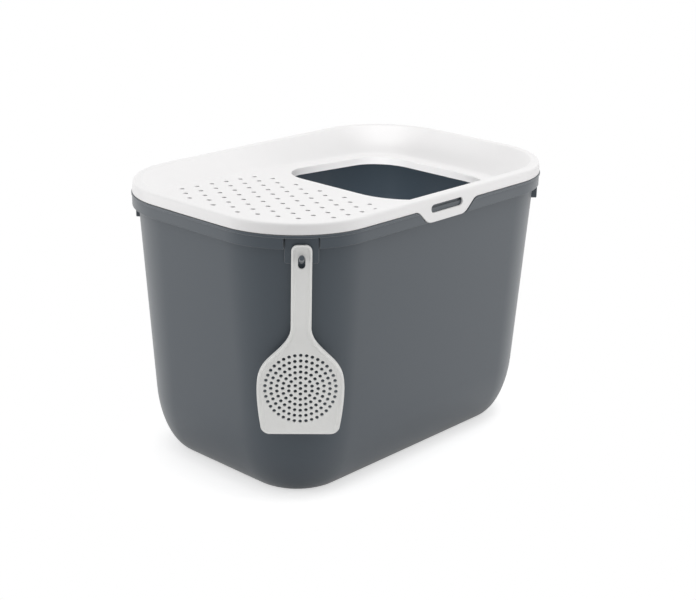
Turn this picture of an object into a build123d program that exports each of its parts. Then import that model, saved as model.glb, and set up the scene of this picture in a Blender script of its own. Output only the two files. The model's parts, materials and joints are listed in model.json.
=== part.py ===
"""Top entry litter box: an open tub, a drop-on lid with a perforated tray, and a hanging scoop.

X runs along the length, Y across the width and Z up. The origin is the middle of the tub's underside.
The perforated end is at -X, the entry opening lies towards +X, and the scoop hangs at the -X -Y corner.
"""
import os
from math import ceil, cos, hypot, pi, radians, sin, sqrt, tan

from build123d import *

os.makedirs("parts", exist_ok=True)

# ---- Whole box -----------------------------------------------------------------------------------
BOX_LENGTH = 585.0           # over the rim's bead, along X
BOX_WIDTH = 390.0            # over the rim's bead, along Y
BOX_HEIGHT = 395.0           # floor to the lid's border
WALL = 2.5                   # wall of all three mouldings
CORNER_RADIUS = 121.0        # lid and rim, in plan
SHORT_SIDE_BOW = 3.2         # how far the middle of a short side stands out from its ends
LONG_SIDE_BOW = 2.0          # the same for a long side

# ---- Tub -----------------------------------------------------------------------------------------
RIM_OVERHANG = 6.5           # rim's bead outside the top of the wall
WALL_TOP_RADIUS = 127.0      # corner radius of the wall at the rim
END_TAPER = 32.0             # how far each end wall leans in from the rim to the floor
SIDE_TAPER = 23.0            # the same for the long sides
BASE_RADIUS = 95.0           # corner radius at the floor, before the bottom edge is rounded
BOTTOM_ROUND_HEIGHT = 90.0   # the rounded bottom edge is a quarter of an ellipse
BOTTOM_ROUND_DEPTH = 40.0
BOTTOM_ROUND_STEPS = 9       # sections that shape the rounded edge
BEAD_PROUD = 1.0             # bead outside the lid's skirt
BEAD_HEIGHT = 3.5
BAND_HEIGHT = 18.0           # downturned band under the rim
UPSTAND_HEIGHT = 6.0         # wall above the rim's shelf, which centres the lid
GRIP_RECESS_WIDTH = 96.0     # shallow recess under the middle of each short side
GRIP_RECESS_REACH = 45.0
GRIP_RECESS_DEPTH = 3.0

# ---- Corner pads and the scoop's peg -------------------------------------------------------------
PAD_ANGLE = 45.0             # direction of a pad's face, in degrees from the X axis
PAD_SHIFT = 8.5              # along its face, from the middle of the corner towards the long side
PAD_WIDTH = 43.0
PAD_DROP = 37.5              # rim's shelf down to the pad's lower edge
PAD_RECESS = 4.5             # pad's face behind the rim's band
PAD_ROOT = 16.0              # how far a pad reaches in, through the wall
PAD_GAP = 1.0                # pad's side to the cut end of the band
PEG_RADIUS = 3.5
PEG_RISE = 30.0              # degrees that the peg points up
PEG_REACH = 14.0             # along the peg, outside the pad's face

# ---- Lid -----------------------------------------------------------------------------------------
SKIRT_HEIGHT = 16.0
SKIRT_DRAFT = 1.5            # skirt leans in by this at the top
BORDER_RADIUS = 5.0          # outer round of the lid's border
BORDER_WIDTH = 13.5          # skirt's outside to the inner edge of the border
TRAY_SLOPE = 0.05            # fall of the tray's floor towards +X, for each unit of length
TRAY_DROP = 16.3             # border to the tray's floor at the tray's -X end
TRAY_END_INSET = 30.0        # tray's -X end inside the skirt
TRAY_CORNER_RADIUS = 92.0
TRAY_SKIN = 3.0              # thickness measured upright, so that the slopes are about one WALL thick
OPENING_LENGTH = 231.0       # entry opening, along X
OPENING_WIDTH = 250.0
OPENING_NEAR_RADIUS = 80.0   # corners on the -Y side, where the scoop hangs
OPENING_FAR_RADIUS = 56.0    # corners on the +Y side
OPENING_END_INSET = 71.0     # opening's +X edge inside the skirt
OPENING_MARGIN = 5.0         # tray's floor beside the opening and beyond its +X edge
LIP_DEPTH = 11.0             # downturned lip round the opening
HOLE_DIAMETER = 7.0          # perforations
HOLE_PITCH = 27.5            # along X, with alternate rows shifted by half of it
ROW_PITCH = 23.6             # between rows, along Y
HOLE_EDGE_MARGIN = 8.0       # field of holes inside the tray's sides
HOLE_END_MARGIN = 30.0       # field of holes inside the tray's -X end
HOLE_OPENING_MARGIN = 36.3   # last holes before the opening
HOLE_NEAR_RADIUS = 92.0      # round corner of the field of holes on the -Y side
HOLE_FAR_RADIUS = 50.0       # the same on the +Y side

# ---- Handle flaps of the lid ---------------------------------------------------------------------
FLAP_OFFSET = -2.5           # middle of a flap, along X
FLAP_TOP_WIDTH = 118.0
FLAP_BOTTOM_WIDTH = 77.0
FLAP_DROP = 19.5             # below the skirt
FLAP_ROUND = 8.0
FLAP_CLEARANCE = 1.0         # flap to the cut in the tub's rim
SLOT_LENGTH = 66.0
SLOT_HEIGHT = 12.5

# ---- Scoop ---------------------------------------------------------------------------------------
SCOOP_LENGTH = 258.0
SCOOP_TOP_BELOW_SHELF = 12.0
HANDLE_WIDTH = 26.0
HANDLE_DEPTH = 6.0           # handle's raised sides, front to back
HANDLE_TOP_ROUND = 8.0
HANDLE_END_HEIGHT = 150.0    # above the lip, where the neck ends in the handle's width and back
SHOULDER_LOW_HEIGHT = 100.0  # the blade's shoulder runs in from here
SHOULDER_LOW_WIDTH = 92.6
SHOULDER_HIGH_HEIGHT = 124.0
SHOULDER_HIGH_WIDTH = 46.6
BLADE_WIDTH = 112.0
BLADE_WIDEST = 66.0          # height of the widest place
LIP_WIDTH = 99.8             # lower edge, before its corners are rounded
LIP_CORNER_ROUND = 12.0
DISH_DEPTH = 6.0             # how far the blade's back lies behind the handle's back
DISH_ROUND = 5.0             # round along the back of the blade
DISH_TOP_HEIGHT = 125.0      # the dish's back starts to come forward here
HANG_HOLE_WIDTH = 9.2
HANG_HOLE_HEIGHT = 16.6
HANG_HOLE_FROM_TOP = 14.9
SIEVE_MIDDLE = 63.5          # height of the rings' centre
SIEVE_HOLE_DIAMETER = 4.8
SIEVE_RING_PITCH = 7.6
SIEVE_RINGS = (6, 14, 20, 26, 32, 38)
FIT_GAP = 0.3                # scoop to the pad and to the peg's top

# ---- Heights and places that follow --------------------------------------------------------------
SHELF_Z = BOX_HEIGHT - SKIRT_HEIGHT
LID_LENGTH = BOX_LENGTH - 2 * BEAD_PROUD
LID_WIDTH = BOX_WIDTH - 2 * BEAD_PROUD
WALL_TOP_LENGTH = BOX_LENGTH - 2 * RIM_OVERHANG
WALL_TOP_WIDTH = BOX_WIDTH - 2 * RIM_OVERHANG
BASE_LENGTH = WALL_TOP_LENGTH - 2 * END_TAPER
BASE_WIDTH = WALL_TOP_WIDTH - 2 * SIDE_TAPER
FLOOR_THICKNESS = WALL + GRIP_RECESS_DEPTH
SCOOP_TOP_Z = SHELF_Z - SCOOP_TOP_BELOW_SHELF
HANG_HOLE_TOP_Z = SCOOP_TOP_Z - HANG_HOLE_FROM_TOP
PEG_TOP_AT_FACE_Z = HANG_HOLE_TOP_Z - FIT_GAP - (FIT_GAP + WALL) * tan(radians(PEG_RISE))
PEG_Z = PEG_TOP_AT_FACE_Z - PEG_RADIUS / cos(radians(PEG_RISE))
OVERCUT = 1.0                # how far a cut runs past the face that it opens


def bowed_face(inset, z):
    """Plan of the lid and rim: bowed sides and round corners, drawn `inset` inside the skirt."""
    half_length = LID_LENGTH / 2 - inset
    half_width = LID_WIDTH / 2 - inset
    corner_x = half_length - SHORT_SIDE_BOW
    corner_y = half_width - LONG_SIDE_BOW
    sides = Curve() + [
        ThreePointArc((corner_x, -corner_y), (half_length, 0), (corner_x, corner_y)),
        ThreePointArc((corner_x, corner_y), (0, half_width), (-corner_x, corner_y)),
        ThreePointArc((-corner_x, corner_y), (-half_length, 0), (-corner_x, -corner_y)),
        ThreePointArc((-corner_x, -corner_y), (0, -half_width), (corner_x, -corner_y)),
    ]
    plan = make_face(sides)
    return Pos(0, 0, z) * fillet(plan.vertices(), CORNER_RADIUS - inset)


def bowed_prism(inset, low, high):
    """Upright prism on the lid's plan."""
    return extrude(bowed_face(inset, low), high - low)


def wall_face(z, inset):
    """Plan of the tub's wall at a height, with the rounded bottom edge taken off."""
    share = z / SHELF_Z
    length = BASE_LENGTH + (WALL_TOP_LENGTH - BASE_LENGTH) * share
    width = BASE_WIDTH + (WALL_TOP_WIDTH - BASE_WIDTH) * share
    radius = BASE_RADIUS + (WALL_TOP_RADIUS - BASE_RADIUS) * share
    below_round = max(0.0, 1 - z / BOTTOM_ROUND_HEIGHT)
    total_inset = inset + BOTTOM_ROUND_DEPTH * (1 - sqrt(1 - below_round**2))
    plan = RectangleRounded(length - 2 * total_inset, width - 2 * total_inset, radius - total_inset)
    return plan, z


def wall_solid(inset, floor_z, top_z):
    """Solid that fills the tub's wall from a floor up to a height, drawn `inset` inside the wall."""
    turns = [radians(90 * step / BOTTOM_ROUND_STEPS) for step in range(BOTTOM_ROUND_STEPS + 1)]
    heights = [BOTTOM_ROUND_HEIGHT * (1 - cos(turn)) for turn in turns]
    faces = []
    for height in heights:
        plan, z = wall_face(height, inset)
        faces.append(Pos(0, 0, floor_z + z * (1 - floor_z / BOTTOM_ROUND_HEIGHT)) * plan)
    top_plan, _ = wall_face(SHELF_Z, inset)
    faces.append(Pos(0, 0, top_z) * top_plan)
    return loft(faces, ruled=True)


def pad_plane(z):
    """Plane on a corner pad's face at the -X -Y corner: x along the face, y up, z outwards."""
    angle = radians(PAD_ANGLE)
    centre_x = LID_LENGTH / 2 - SHORT_SIDE_BOW - CORNER_RADIUS
    centre_y = LID_WIDTH / 2 - LONG_SIDE_BOW - CORNER_RADIUS
    reach = CORNER_RADIUS - PAD_RECESS
    origin_x = -centre_x - reach * cos(angle) + PAD_SHIFT * sin(angle)
    origin_y = -centre_y - reach * sin(angle) - PAD_SHIFT * cos(angle)
    along = (sin(angle), -cos(angle), 0)
    return Plane(origin=(origin_x, origin_y, z), x_dir=along, z_dir=(-cos(angle), -sin(angle), 0))


def mirrored_to_corners(shape):
    """The shape of the -X -Y corner, repeated at all four corners."""
    pair = [shape, mirror(shape, about=Plane.XZ)]
    return pair + [mirror(item, about=Plane.YZ) for item in pair]


def make_tub():
    """Tub: wall, floor, rim, corner pads and the scoop's peg in one moulding."""
    upstand_z = SHELF_Z + UPSTAND_HEIGHT
    body = wall_solid(0, 0, SHELF_Z)
    upstand_plan, _ = wall_face(SHELF_Z, 0)
    body += extrude(Pos(0, 0, SHELF_Z - WALL) * upstand_plan, UPSTAND_HEIGHT + WALL)
    body += bowed_prism(0, SHELF_Z - WALL, SHELF_Z)
    band = bowed_prism(0, SHELF_Z - BAND_HEIGHT, SHELF_Z) - bowed_prism(WALL, 0, SHELF_Z)
    bead = bowed_prism(-BEAD_PROUD, SHELF_Z - BEAD_HEIGHT, SHELF_Z) - bowed_prism(WALL, 0, SHELF_Z)

    pad_height = PAD_DROP - WALL / 2
    pad = pad_plane(SHELF_Z - PAD_DROP + pad_height / 2) * Box(
        PAD_WIDTH, pad_height, PAD_ROOT, align=(Align.CENTER, Align.CENTER, Align.MAX)
    )
    notch_height = BAND_HEIGHT - BEAD_HEIGHT + OVERCUT
    notch = pad_plane(SHELF_Z - BEAD_HEIGHT - notch_height / 2) * Box(
        PAD_WIDTH + 2 * PAD_GAP, notch_height, 2 * PAD_RECESS, align=(Align.CENTER, Align.CENTER, Align.MIN)
    )
    for corner_notch in mirrored_to_corners(notch):
        band -= corner_notch
    body = body + band + bead
    for corner_pad in mirrored_to_corners(pad):
        body += corner_pad

    cut_plan = offset(flap_plan(), FLAP_CLEARANCE)
    cut_depth = BEAD_PROUD + WALL + FLAP_CLEARANCE
    cut_back = flap_plane(BOX_WIDTH / 2 - cut_depth)
    seat = cut_back * extrude(cut_plan, -2 * WALL) & bowed_prism(0, SHELF_Z - PAD_DROP, SHELF_Z)
    body += seat
    body += mirror(seat, about=Plane.XZ)
    flap_cut = cut_back * extrude(cut_plan, 2 * cut_depth)
    body -= flap_cut
    body -= mirror(flap_cut, about=Plane.XZ)

    peg_start = PAD_ROOT / 2
    peg_length = peg_start + PEG_REACH
    peg = Cylinder(PEG_RADIUS, peg_length, align=(Align.CENTER, Align.CENTER, Align.MIN))
    peg = fillet(peg.edges().sort_by(Axis.Z)[-1], PEG_RADIUS / 3)
    peg = pad_plane(PEG_Z) * Rot(-PEG_RISE, 0, 0) * Pos(0, 0, -peg_start) * peg
    body += peg

    cavity = wall_solid(WALL, FLOOR_THICKNESS, SHELF_Z)
    cavity_top, _ = wall_face(SHELF_Z, WALL)
    cavity += extrude(Pos(0, 0, SHELF_Z) * cavity_top, UPSTAND_HEIGHT + OVERCUT)
    body -= cavity
    base_half_length = BASE_LENGTH / 2 - BOTTOM_ROUND_DEPTH
    recess = Box(2 * GRIP_RECESS_REACH, GRIP_RECESS_WIDTH, 2 * GRIP_RECESS_DEPTH)
    for end in (-1, 1):
        body -= Pos(end * base_half_length, 0, 0) * recess
    return body


def tray_plane(lower):
    """Plane of the tray's floor, `lower` below its upper face, with its origin above X = 0."""
    start_x = -LID_LENGTH / 2 + TRAY_END_INSET
    z_at_origin = BOX_HEIGHT - TRAY_DROP + TRAY_SLOPE * start_x - lower
    return Plane(origin=(0, 0, z_at_origin), x_dir=(1, 0, -TRAY_SLOPE), z_dir=(TRAY_SLOPE, 0, 1))


def tray_face(grow, lower):
    """Plan of the tray's floor on its slope, from the -X end to a little beyond the opening."""
    low_x = -LID_LENGTH / 2 + TRAY_END_INSET - grow
    high_x = LID_LENGTH / 2 - OPENING_END_INSET + OPENING_MARGIN + grow
    half_width = OPENING_WIDTH / 2 + OPENING_MARGIN + grow
    corners = [(high_x, -half_width), (high_x, half_width), (low_x, half_width), (low_x, -half_width)]
    plan = make_face(Polyline(*corners, close=True))
    near_corner = plan.vertices().group_by(Axis.X)[-1].sort_by(Axis.Y)[0]
    plan = fillet(near_corner, OPENING_NEAR_RADIUS + OPENING_MARGIN + grow)
    far_corner = plan.vertices().group_by(Axis.X)[-1].sort_by(Axis.Y)[-1]
    plan = fillet(far_corner, OPENING_FAR_RADIUS + OPENING_MARGIN + grow)
    end_corners = plan.vertices().group_by(Axis.X)[0]
    plan = fillet(end_corners, TRAY_CORNER_RADIUS + grow)
    return tray_plane(lower) * plan


def opening_solid(grow, depth, lift):
    """Prism through the entry opening, square to the tray's floor."""
    middle_x = LID_LENGTH / 2 - OPENING_END_INSET - OPENING_LENGTH / 2
    plan = Pos(middle_x, 0) * Rectangle(OPENING_LENGTH + 2 * grow, OPENING_WIDTH + 2 * grow)
    plan = fillet(plan.vertices().group_by(Axis.Y)[0], OPENING_NEAR_RADIUS + grow)
    plan = fillet(plan.vertices().group_by(Axis.Y)[-1], OPENING_FAR_RADIUS + grow)
    return tray_plane(-lift) * extrude(plan, -(depth + lift))


def perforation_places():
    """Centres of the tray's holes: staggered rows inside a field with two round corners at its -X end."""
    low_x = -LID_LENGTH / 2 + TRAY_END_INSET + HOLE_END_MARGIN
    high_x = LID_LENGTH / 2 - OPENING_END_INSET - OPENING_LENGTH - HOLE_OPENING_MARGIN
    half_width = OPENING_WIDTH / 2 + OPENING_MARGIN - HOLE_EDGE_MARGIN
    rows = int(half_width / ROW_PITCH)
    columns = ceil((high_x - low_x) / HOLE_PITCH) + 1
    places = []
    for row in range(-rows, rows + 1):
        shift = HOLE_PITCH / 2 if row % 2 else 0.0
        radius = HOLE_FAR_RADIUS if row > 0 else HOLE_NEAR_RADIUS
        for column in range(columns):
            x = high_x - shift - column * HOLE_PITCH
            y = row * ROW_PITCH
            corner_x = max(0.0, low_x + radius - x)
            corner_y = max(0.0, abs(y) - half_width + radius)
            if hypot(corner_x, corner_y) < radius:
                places.append((x, y))
    return places


def flap_plane(half_width):
    """Upright plane of the -Y side, facing outwards, whose origin is under the middle of the flap."""
    return Plane(origin=(FLAP_OFFSET, -half_width, 0), x_dir=(1, 0, 0), z_dir=(0, -1, 0))


def flap_plan():
    """Outline of a handle flap, from behind the skirt down to its rounded lower corners."""
    top = SHELF_Z + SLOT_HEIGHT
    outline = Polyline(
        (-FLAP_TOP_WIDTH / 2, top),
        (-FLAP_TOP_WIDTH / 2, SHELF_Z),
        (-FLAP_BOTTOM_WIDTH / 2, SHELF_Z - FLAP_DROP),
        (FLAP_BOTTOM_WIDTH / 2, SHELF_Z - FLAP_DROP),
        (FLAP_TOP_WIDTH / 2, SHELF_Z),
        (FLAP_TOP_WIDTH / 2, top),
        close=True,
    )
    plan = make_face(outline)
    lower_corners = plan.vertices().group_by(Axis.Y)[0]
    return fillet(lower_corners, FLAP_ROUND)


def make_lid():
    """Lid: skirt, rounded border, sloping perforated tray, entry opening with its lip, two flaps."""
    cap = loft([bowed_face(0, SHELF_Z), bowed_face(SKIRT_DRAFT, BOX_HEIGHT)], ruled=True)
    cap = fillet(cap.edges().group_by(Axis.Z)[-1], BORDER_RADIUS)
    under = loft(
        [bowed_face(WALL, SHELF_Z - OVERCUT), bowed_face(WALL + SKIRT_DRAFT, BOX_HEIGHT - WALL)], ruled=True
    )
    cap -= under

    flap = flap_plane(LID_WIDTH / 2) * extrude(flap_plan(), -WALL)
    cap += flap
    cap += mirror(flap, about=Plane.XZ)
    slot = Rot(90, 0, 0) * extrude(SlotOverall(SLOT_LENGTH, SLOT_HEIGHT), 2 * BOX_WIDTH, both=True)
    cap -= Pos(FLAP_OFFSET, 0, SHELF_Z) * slot

    tray_top = bowed_face(BORDER_WIDTH - WALL, BOX_HEIGHT - WALL / 2)
    tray_body = loft([tray_top, tray_face(WALL / 2, TRAY_SKIN)], ruled=True)
    cap += tray_body
    cap += opening_solid(WALL, LIP_DEPTH, 0)
    tray_void = loft([bowed_face(BORDER_WIDTH, BOX_HEIGHT), tray_face(0, 0)], ruled=True)
    cap -= tray_void
    cap -= opening_solid(0, LIP_DEPTH + OVERCUT, OVERCUT)

    drill_depth = TRAY_DROP + TRAY_SLOPE * LID_LENGTH + 2 * TRAY_SKIN
    drill = Cylinder(HOLE_DIAMETER / 2, drill_depth, align=(Align.CENTER, Align.CENTER, Align.MAX))
    cap -= [Pos(x, y, BOX_HEIGHT - OVERCUT) * drill for x, y in perforation_places()]
    return cap


def scoop_outline(inset, lip_y, corner_round):
    """Front outline of the scoop, upright with its lip along y = 0, drawn `inset` inside its sides."""
    handle = HANDLE_WIDTH / 2 - inset
    top = SCOOP_LENGTH - inset
    lip_lean = (BLADE_WIDTH / 2 - LIP_WIDTH / 2, BLADE_WIDEST)
    right_side = Curve() + [
        Line((0, lip_y), (LIP_WIDTH / 2 - inset, lip_y)),
        Spline(
            (LIP_WIDTH / 2 - inset, lip_y),
            (BLADE_WIDTH / 2 - inset, BLADE_WIDEST),
            (SHOULDER_LOW_WIDTH / 2 - inset, SHOULDER_LOW_HEIGHT - inset / 2),
            (SHOULDER_HIGH_WIDTH / 2 - inset, SHOULDER_HIGH_HEIGHT - inset / 2),
            (handle, HANDLE_END_HEIGHT),
            tangents=(lip_lean, (0, 1)),
        ),
        Line((handle, HANDLE_END_HEIGHT), (handle, top)),
        Line((handle, top), (0, top)),
        Line((0, top), (0, lip_y)),
    ]
    half = make_face(right_side)
    plan = half + mirror(half, about=Plane.YZ)
    plan = fillet(plan.vertices().group_by(Axis.Y)[-1], HANDLE_TOP_ROUND - inset)
    if corner_round:
        plan = fillet(plan.vertices().group_by(Axis.Y)[0], corner_round)
    return plan


def scoop_side(lift):
    """Side profile of the scoop's back, `lift` in front of it, drawn across the whole width."""
    dish = lift - DISH_DEPTH
    front = HANDLE_DEPTH + OVERCUT
    profile = make_face(
        Polyline(
            (-OVERCUT, dish),
            (DISH_TOP_HEIGHT, dish),
            (HANDLE_END_HEIGHT, lift),
            (SCOOP_LENGTH + OVERCUT, lift),
            (SCOOP_LENGTH + OVERCUT, front),
            (-OVERCUT, front),
            close=True,
        )
    )
    return extrude(Plane.YZ * profile, BLADE_WIDTH, both=True)


def make_scoop():
    """Scoop: a channel handle with its hanging hole, and a dished blade with rings of holes."""
    plan = scoop_outline(0, 0, LIP_CORNER_ROUND)
    outside = Pos(0, 0, -DISH_DEPTH) * extrude(plan, HANDLE_DEPTH + DISH_DEPTH)
    outside &= scoop_side(0)
    back_edges = outside.edges().group_by(Axis.Z)[0].filter_by(Axis.X, reverse=True)
    outside = fillet(back_edges, DISH_ROUND)
    hollow = extrude(scoop_outline(WALL, -OVERCUT, 0), 2 * HANDLE_DEPTH + DISH_DEPTH, both=True)
    hollow &= scoop_side(WALL)
    hollow_edges = hollow.edges().group_by(Axis.Z)[0].filter_by(Axis.X, reverse=True)
    hollow = fillet(hollow_edges, DISH_ROUND - WALL)
    body = outside - hollow

    hole_y = SCOOP_LENGTH - HANG_HOLE_FROM_TOP - HANG_HOLE_HEIGHT / 2
    hang_hole = Rot(0, 0, 90) * SlotOverall(HANG_HOLE_HEIGHT, HANG_HOLE_WIDTH)
    body -= Pos(0, hole_y, 0) * extrude(hang_hole, 2 * HANDLE_DEPTH, both=True)
    drill = Cylinder(SIEVE_HOLE_DIAMETER / 2, 2 * DISH_DEPTH)
    drills = [Pos(0, SIEVE_MIDDLE, -DISH_DEPTH) * drill]
    for ring, count in enumerate(SIEVE_RINGS, start=1):
        for step in range(count):
            turn = 2 * pi * step / count
            x = ring * SIEVE_RING_PITCH * sin(turn)
            y = SIEVE_MIDDLE + ring * SIEVE_RING_PITCH * cos(turn)
            drills.append(Pos(x, y, -DISH_DEPTH) * drill)
    body -= drills
    return pad_plane(SCOOP_TOP_Z - SCOOP_LENGTH).offset(FIT_GAP) * body


if __name__ == "__main__":
    export_step(make_tub(), "parts/tub.step")
    export_step(make_lid(), "parts/lid.step")
    export_step(make_scoop(), "parts/scoop.step")
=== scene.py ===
"""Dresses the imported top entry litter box: a dark tub, a white lid and a white scoop in a plain studio.

Every piece is built in millimetres on the same sizes as the solids, then written in metres.
X runs along the length, Y across the width and Z up. The perforated end is at -X.
"""
from __future__ import annotations

import json
import logging
import math
from dataclasses import dataclass, field, replace
from enum import Enum
from typing import Callable, Sequence

import bmesh
import bpy
import numpy as np
from mathutils import Matrix, Vector

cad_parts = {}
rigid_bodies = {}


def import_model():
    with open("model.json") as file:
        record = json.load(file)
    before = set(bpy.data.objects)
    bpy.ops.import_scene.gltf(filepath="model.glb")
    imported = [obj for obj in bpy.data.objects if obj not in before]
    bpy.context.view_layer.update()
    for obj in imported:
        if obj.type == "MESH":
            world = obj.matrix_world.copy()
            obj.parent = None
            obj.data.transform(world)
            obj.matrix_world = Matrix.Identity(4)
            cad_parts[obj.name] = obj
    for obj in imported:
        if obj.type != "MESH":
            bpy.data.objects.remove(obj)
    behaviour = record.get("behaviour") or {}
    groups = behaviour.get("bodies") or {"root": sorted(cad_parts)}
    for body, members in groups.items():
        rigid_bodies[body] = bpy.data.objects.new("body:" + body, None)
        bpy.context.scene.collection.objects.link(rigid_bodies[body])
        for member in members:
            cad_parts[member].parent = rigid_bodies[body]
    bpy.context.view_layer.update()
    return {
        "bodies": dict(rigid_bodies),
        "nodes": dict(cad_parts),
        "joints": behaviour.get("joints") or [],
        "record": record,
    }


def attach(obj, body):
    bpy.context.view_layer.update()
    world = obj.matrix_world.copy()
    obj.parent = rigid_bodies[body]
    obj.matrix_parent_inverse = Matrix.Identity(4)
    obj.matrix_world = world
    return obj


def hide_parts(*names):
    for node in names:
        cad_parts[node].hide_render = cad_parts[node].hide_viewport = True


LOG = logging.getLogger("litter_box")
MM = 0.001                            # metres in a millimetre
MERGE = 0.00002                       # metres within which two points are one
SHARP_ANGLE = math.radians(32.0)      # edges sharper than this stay crisp
SCOOP_SHARP_ANGLE = math.radians(40.0)
ROUND_REACH = 0.42                    # largest share of a straight run that a round may take
HOLD_SHARE = 0.15                     # distance of a holding point from its round, in shares of the round
CUT_GAP = 0.25                        # least distance of a place from a cut's edge, in shares of the spacing

Points = np.ndarray
Pair = tuple[float, float]
Triple = tuple[float, float, float]
Colour = tuple[float, float, float, float]


# ---- Rings and columns ---------------------------------------------------------------------------
class Notch(Enum):
    """What is cut from the rim or the base where a column stands."""

    PLAIN = "plain"
    PAD = "pad"
    RECESS = "recess"


Stop = tuple[float, Notch]


@dataclass(frozen=True)
class Column:
    """One upright column of a ring mesh, at a fixed place round any rounded rectangle.

    along_x and along_y run from -1 to 1 over the straight sides, and turn is the outward
    direction in degrees.
    """

    along_x: float
    along_y: float
    turn: float
    notch: Notch = Notch.PLAIN


@dataclass(frozen=True)
class Outline:
    """A rounded rectangle in plan, whose sides may bow outwards."""

    length: float
    width: float
    radius: float
    bow_x: float = 0.0
    bow_y: float = 0.0
    centre_x: float = 0.0

    def inset(self, amount: float) -> Outline:
        """The same outline drawn inside itself; a negative amount grows it."""
        length, width = self.length - 2 * amount, self.width - 2 * amount
        return replace(self, length=length, width=width, radius=self.radius - amount)

    def place(self, column: Column) -> Pair:
        """The point of this outline on a column.

        Args:
            column: The place round the loop.

        Returns:
            The point's x and y in millimetres.
        """
        half_x = self.length / 2 - self.bow_x
        half_y = self.width / 2 - self.bow_y
        turn = math.radians(column.turn)
        x = column.along_x * (half_x - self.radius) + self.radius * math.cos(turn)
        y = column.along_y * (half_y - self.radius) + self.radius * math.sin(turn)
        out_x = self.bow_x * math.cos(turn) * (1 - (y / half_y) ** 2) if self.bow_x else 0.0
        out_y = self.bow_y * math.sin(turn) * (1 - (x / half_x) ** 2) if self.bow_y else 0.0
        return x + out_x + self.centre_x, y + out_y

    def loop(self, columns: Sequence[Column]) -> Points:
        """The outline's points on every column, as an array of x and y."""
        return np.array([self.place(column) for column in columns])


def between(count: int) -> Points:
    """Even places from -1 to 1, without the two ends that the count includes."""
    return np.linspace(-1, 1, count)[1:-1]


def stops(base: Sequence[float], span: Pair | None = None, notch: Notch = Notch.PLAIN) -> list[Stop]:
    """Places along one side or corner, with a pair of places at each edge of a cut.

    Args:
        base: Rising places.
        span: Where the cut starts and ends, or None for no cut.
        notch: What the places inside the cut are marked with.

    Returns:
        Each place with its mark, rising.
    """
    if span is None:
        return [(value, Notch.PLAIN) for value in base]
    low, high = span
    gap = CUT_GAP * (base[1] - base[0])
    before = [(value, Notch.PLAIN) for value in base if value < low - gap]
    inside = [(value, notch) for value in base if low + gap < value < high - gap]
    after = [(value, Notch.PLAIN) for value in base if value > high + gap]
    return [*before, (low, Notch.PLAIN), (low, notch), *inside, (high, notch), (high, Notch.PLAIN), *after]


def columns_round(
    long_side: Sequence[Stop], short_side: Sequence[Stop], corner: Sequence[Stop]
) -> list[Column]:
    """All the columns of a loop, anticlockwise from the -Y end of the +X side.

    Args:
        long_side: Places from -1 to 1 along X, without the ends.
        short_side: Places from -1 to 1 along Y, without the ends.
        corner: Turns from 0 to 90 degrees, from the X axis to the Y axis, with both ends.

    Returns:
        The loop's columns.
    """
    loop = [Column(1.0, value, 0.0, mark) for value, mark in short_side]
    loop += [Column(1.0, 1.0, value, mark) for value, mark in corner]
    loop += [Column(value, 1.0, 90.0, mark) for value, mark in reversed(long_side)]
    loop += [Column(-1.0, 1.0, 180.0 - value, mark) for value, mark in reversed(corner)]
    loop += [Column(-1.0, value, 180.0, mark) for value, mark in reversed(short_side)]
    loop += [Column(-1.0, -1.0, 180.0 + value, mark) for value, mark in corner]
    loop += [Column(value, -1.0, 270.0, mark) for value, mark in long_side]
    loop += [Column(1.0, -1.0, 360.0 - value, mark) for value, mark in reversed(corner)]
    return loop


def circle_columns(count: int) -> list[Column]:
    """Even columns round a circle."""
    return [Column(0.0, 0.0, turn) for turn in np.linspace(0, 360, count + 1)[:-1]]


def rounded_path(corners: Sequence[Triple], steps: int = 3) -> list[Pair]:
    """An open path with its corners rounded, and a point beside each end of a round to hold the flats flat.

    Args:
        corners: Two coordinates and a radius for each corner; a radius of 0 keeps it sharp.
        steps: Straight runs in each round.

    Returns:
        The path's points.
    """
    path: list[Pair] = [corners[0][:2]]
    for before, corner, after in zip(corners, corners[1:], corners[2:]):
        here = np.array(corner[:2])
        if corner[2] == 0.0:
            path.append(corner[:2])
            continue
        back = np.array(before[:2]) - here
        ahead = np.array(after[:2]) - here
        back_length = float(np.linalg.norm(back))
        ahead_length = float(np.linalg.norm(ahead))
        cosine = float(back @ ahead) / (back_length * ahead_length)
        half_angle = math.acos(max(-1.0, min(1.0, cosine))) / 2
        reach = min(
            corner[2] / math.tan(half_angle), ROUND_REACH * back_length, ROUND_REACH * ahead_length
        )
        start = here + back / back_length * reach
        end = here + ahead / ahead_length * reach
        path.append(tuple(start + back / back_length * reach * HOLD_SHARE))
        for step in range(steps + 1):
            share = step / steps
            point = start * (1 - share) ** 2 + here * 2 * share * (1 - share) + end * share**2
            path.append(tuple(point))
        path.append(tuple(end + ahead / ahead_length * reach * HOLD_SHARE))
    path.append(corners[-1][:2])
    return path


def arc(middle: Pair, radius: float, turns: Points) -> list[Pair]:
    """Points of an arc about its middle, at turns in radians."""
    return [(middle[0] + radius * math.cos(turn), middle[1] + radius * math.sin(turn)) for turn in turns]


def ease(share: Points) -> Points:
    """A smooth rise from 0 to 1 over the shares from 0 to 1."""
    return share * share * (3 - 2 * share)


def moved(points: Points, frame: Matrix) -> Points:
    """Points carried from a frame's own axes into the litter box's."""
    turned = np.array(frame.to_3x3())
    return np.asarray(points, float) @ turned.T + np.array(frame.translation)


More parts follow.
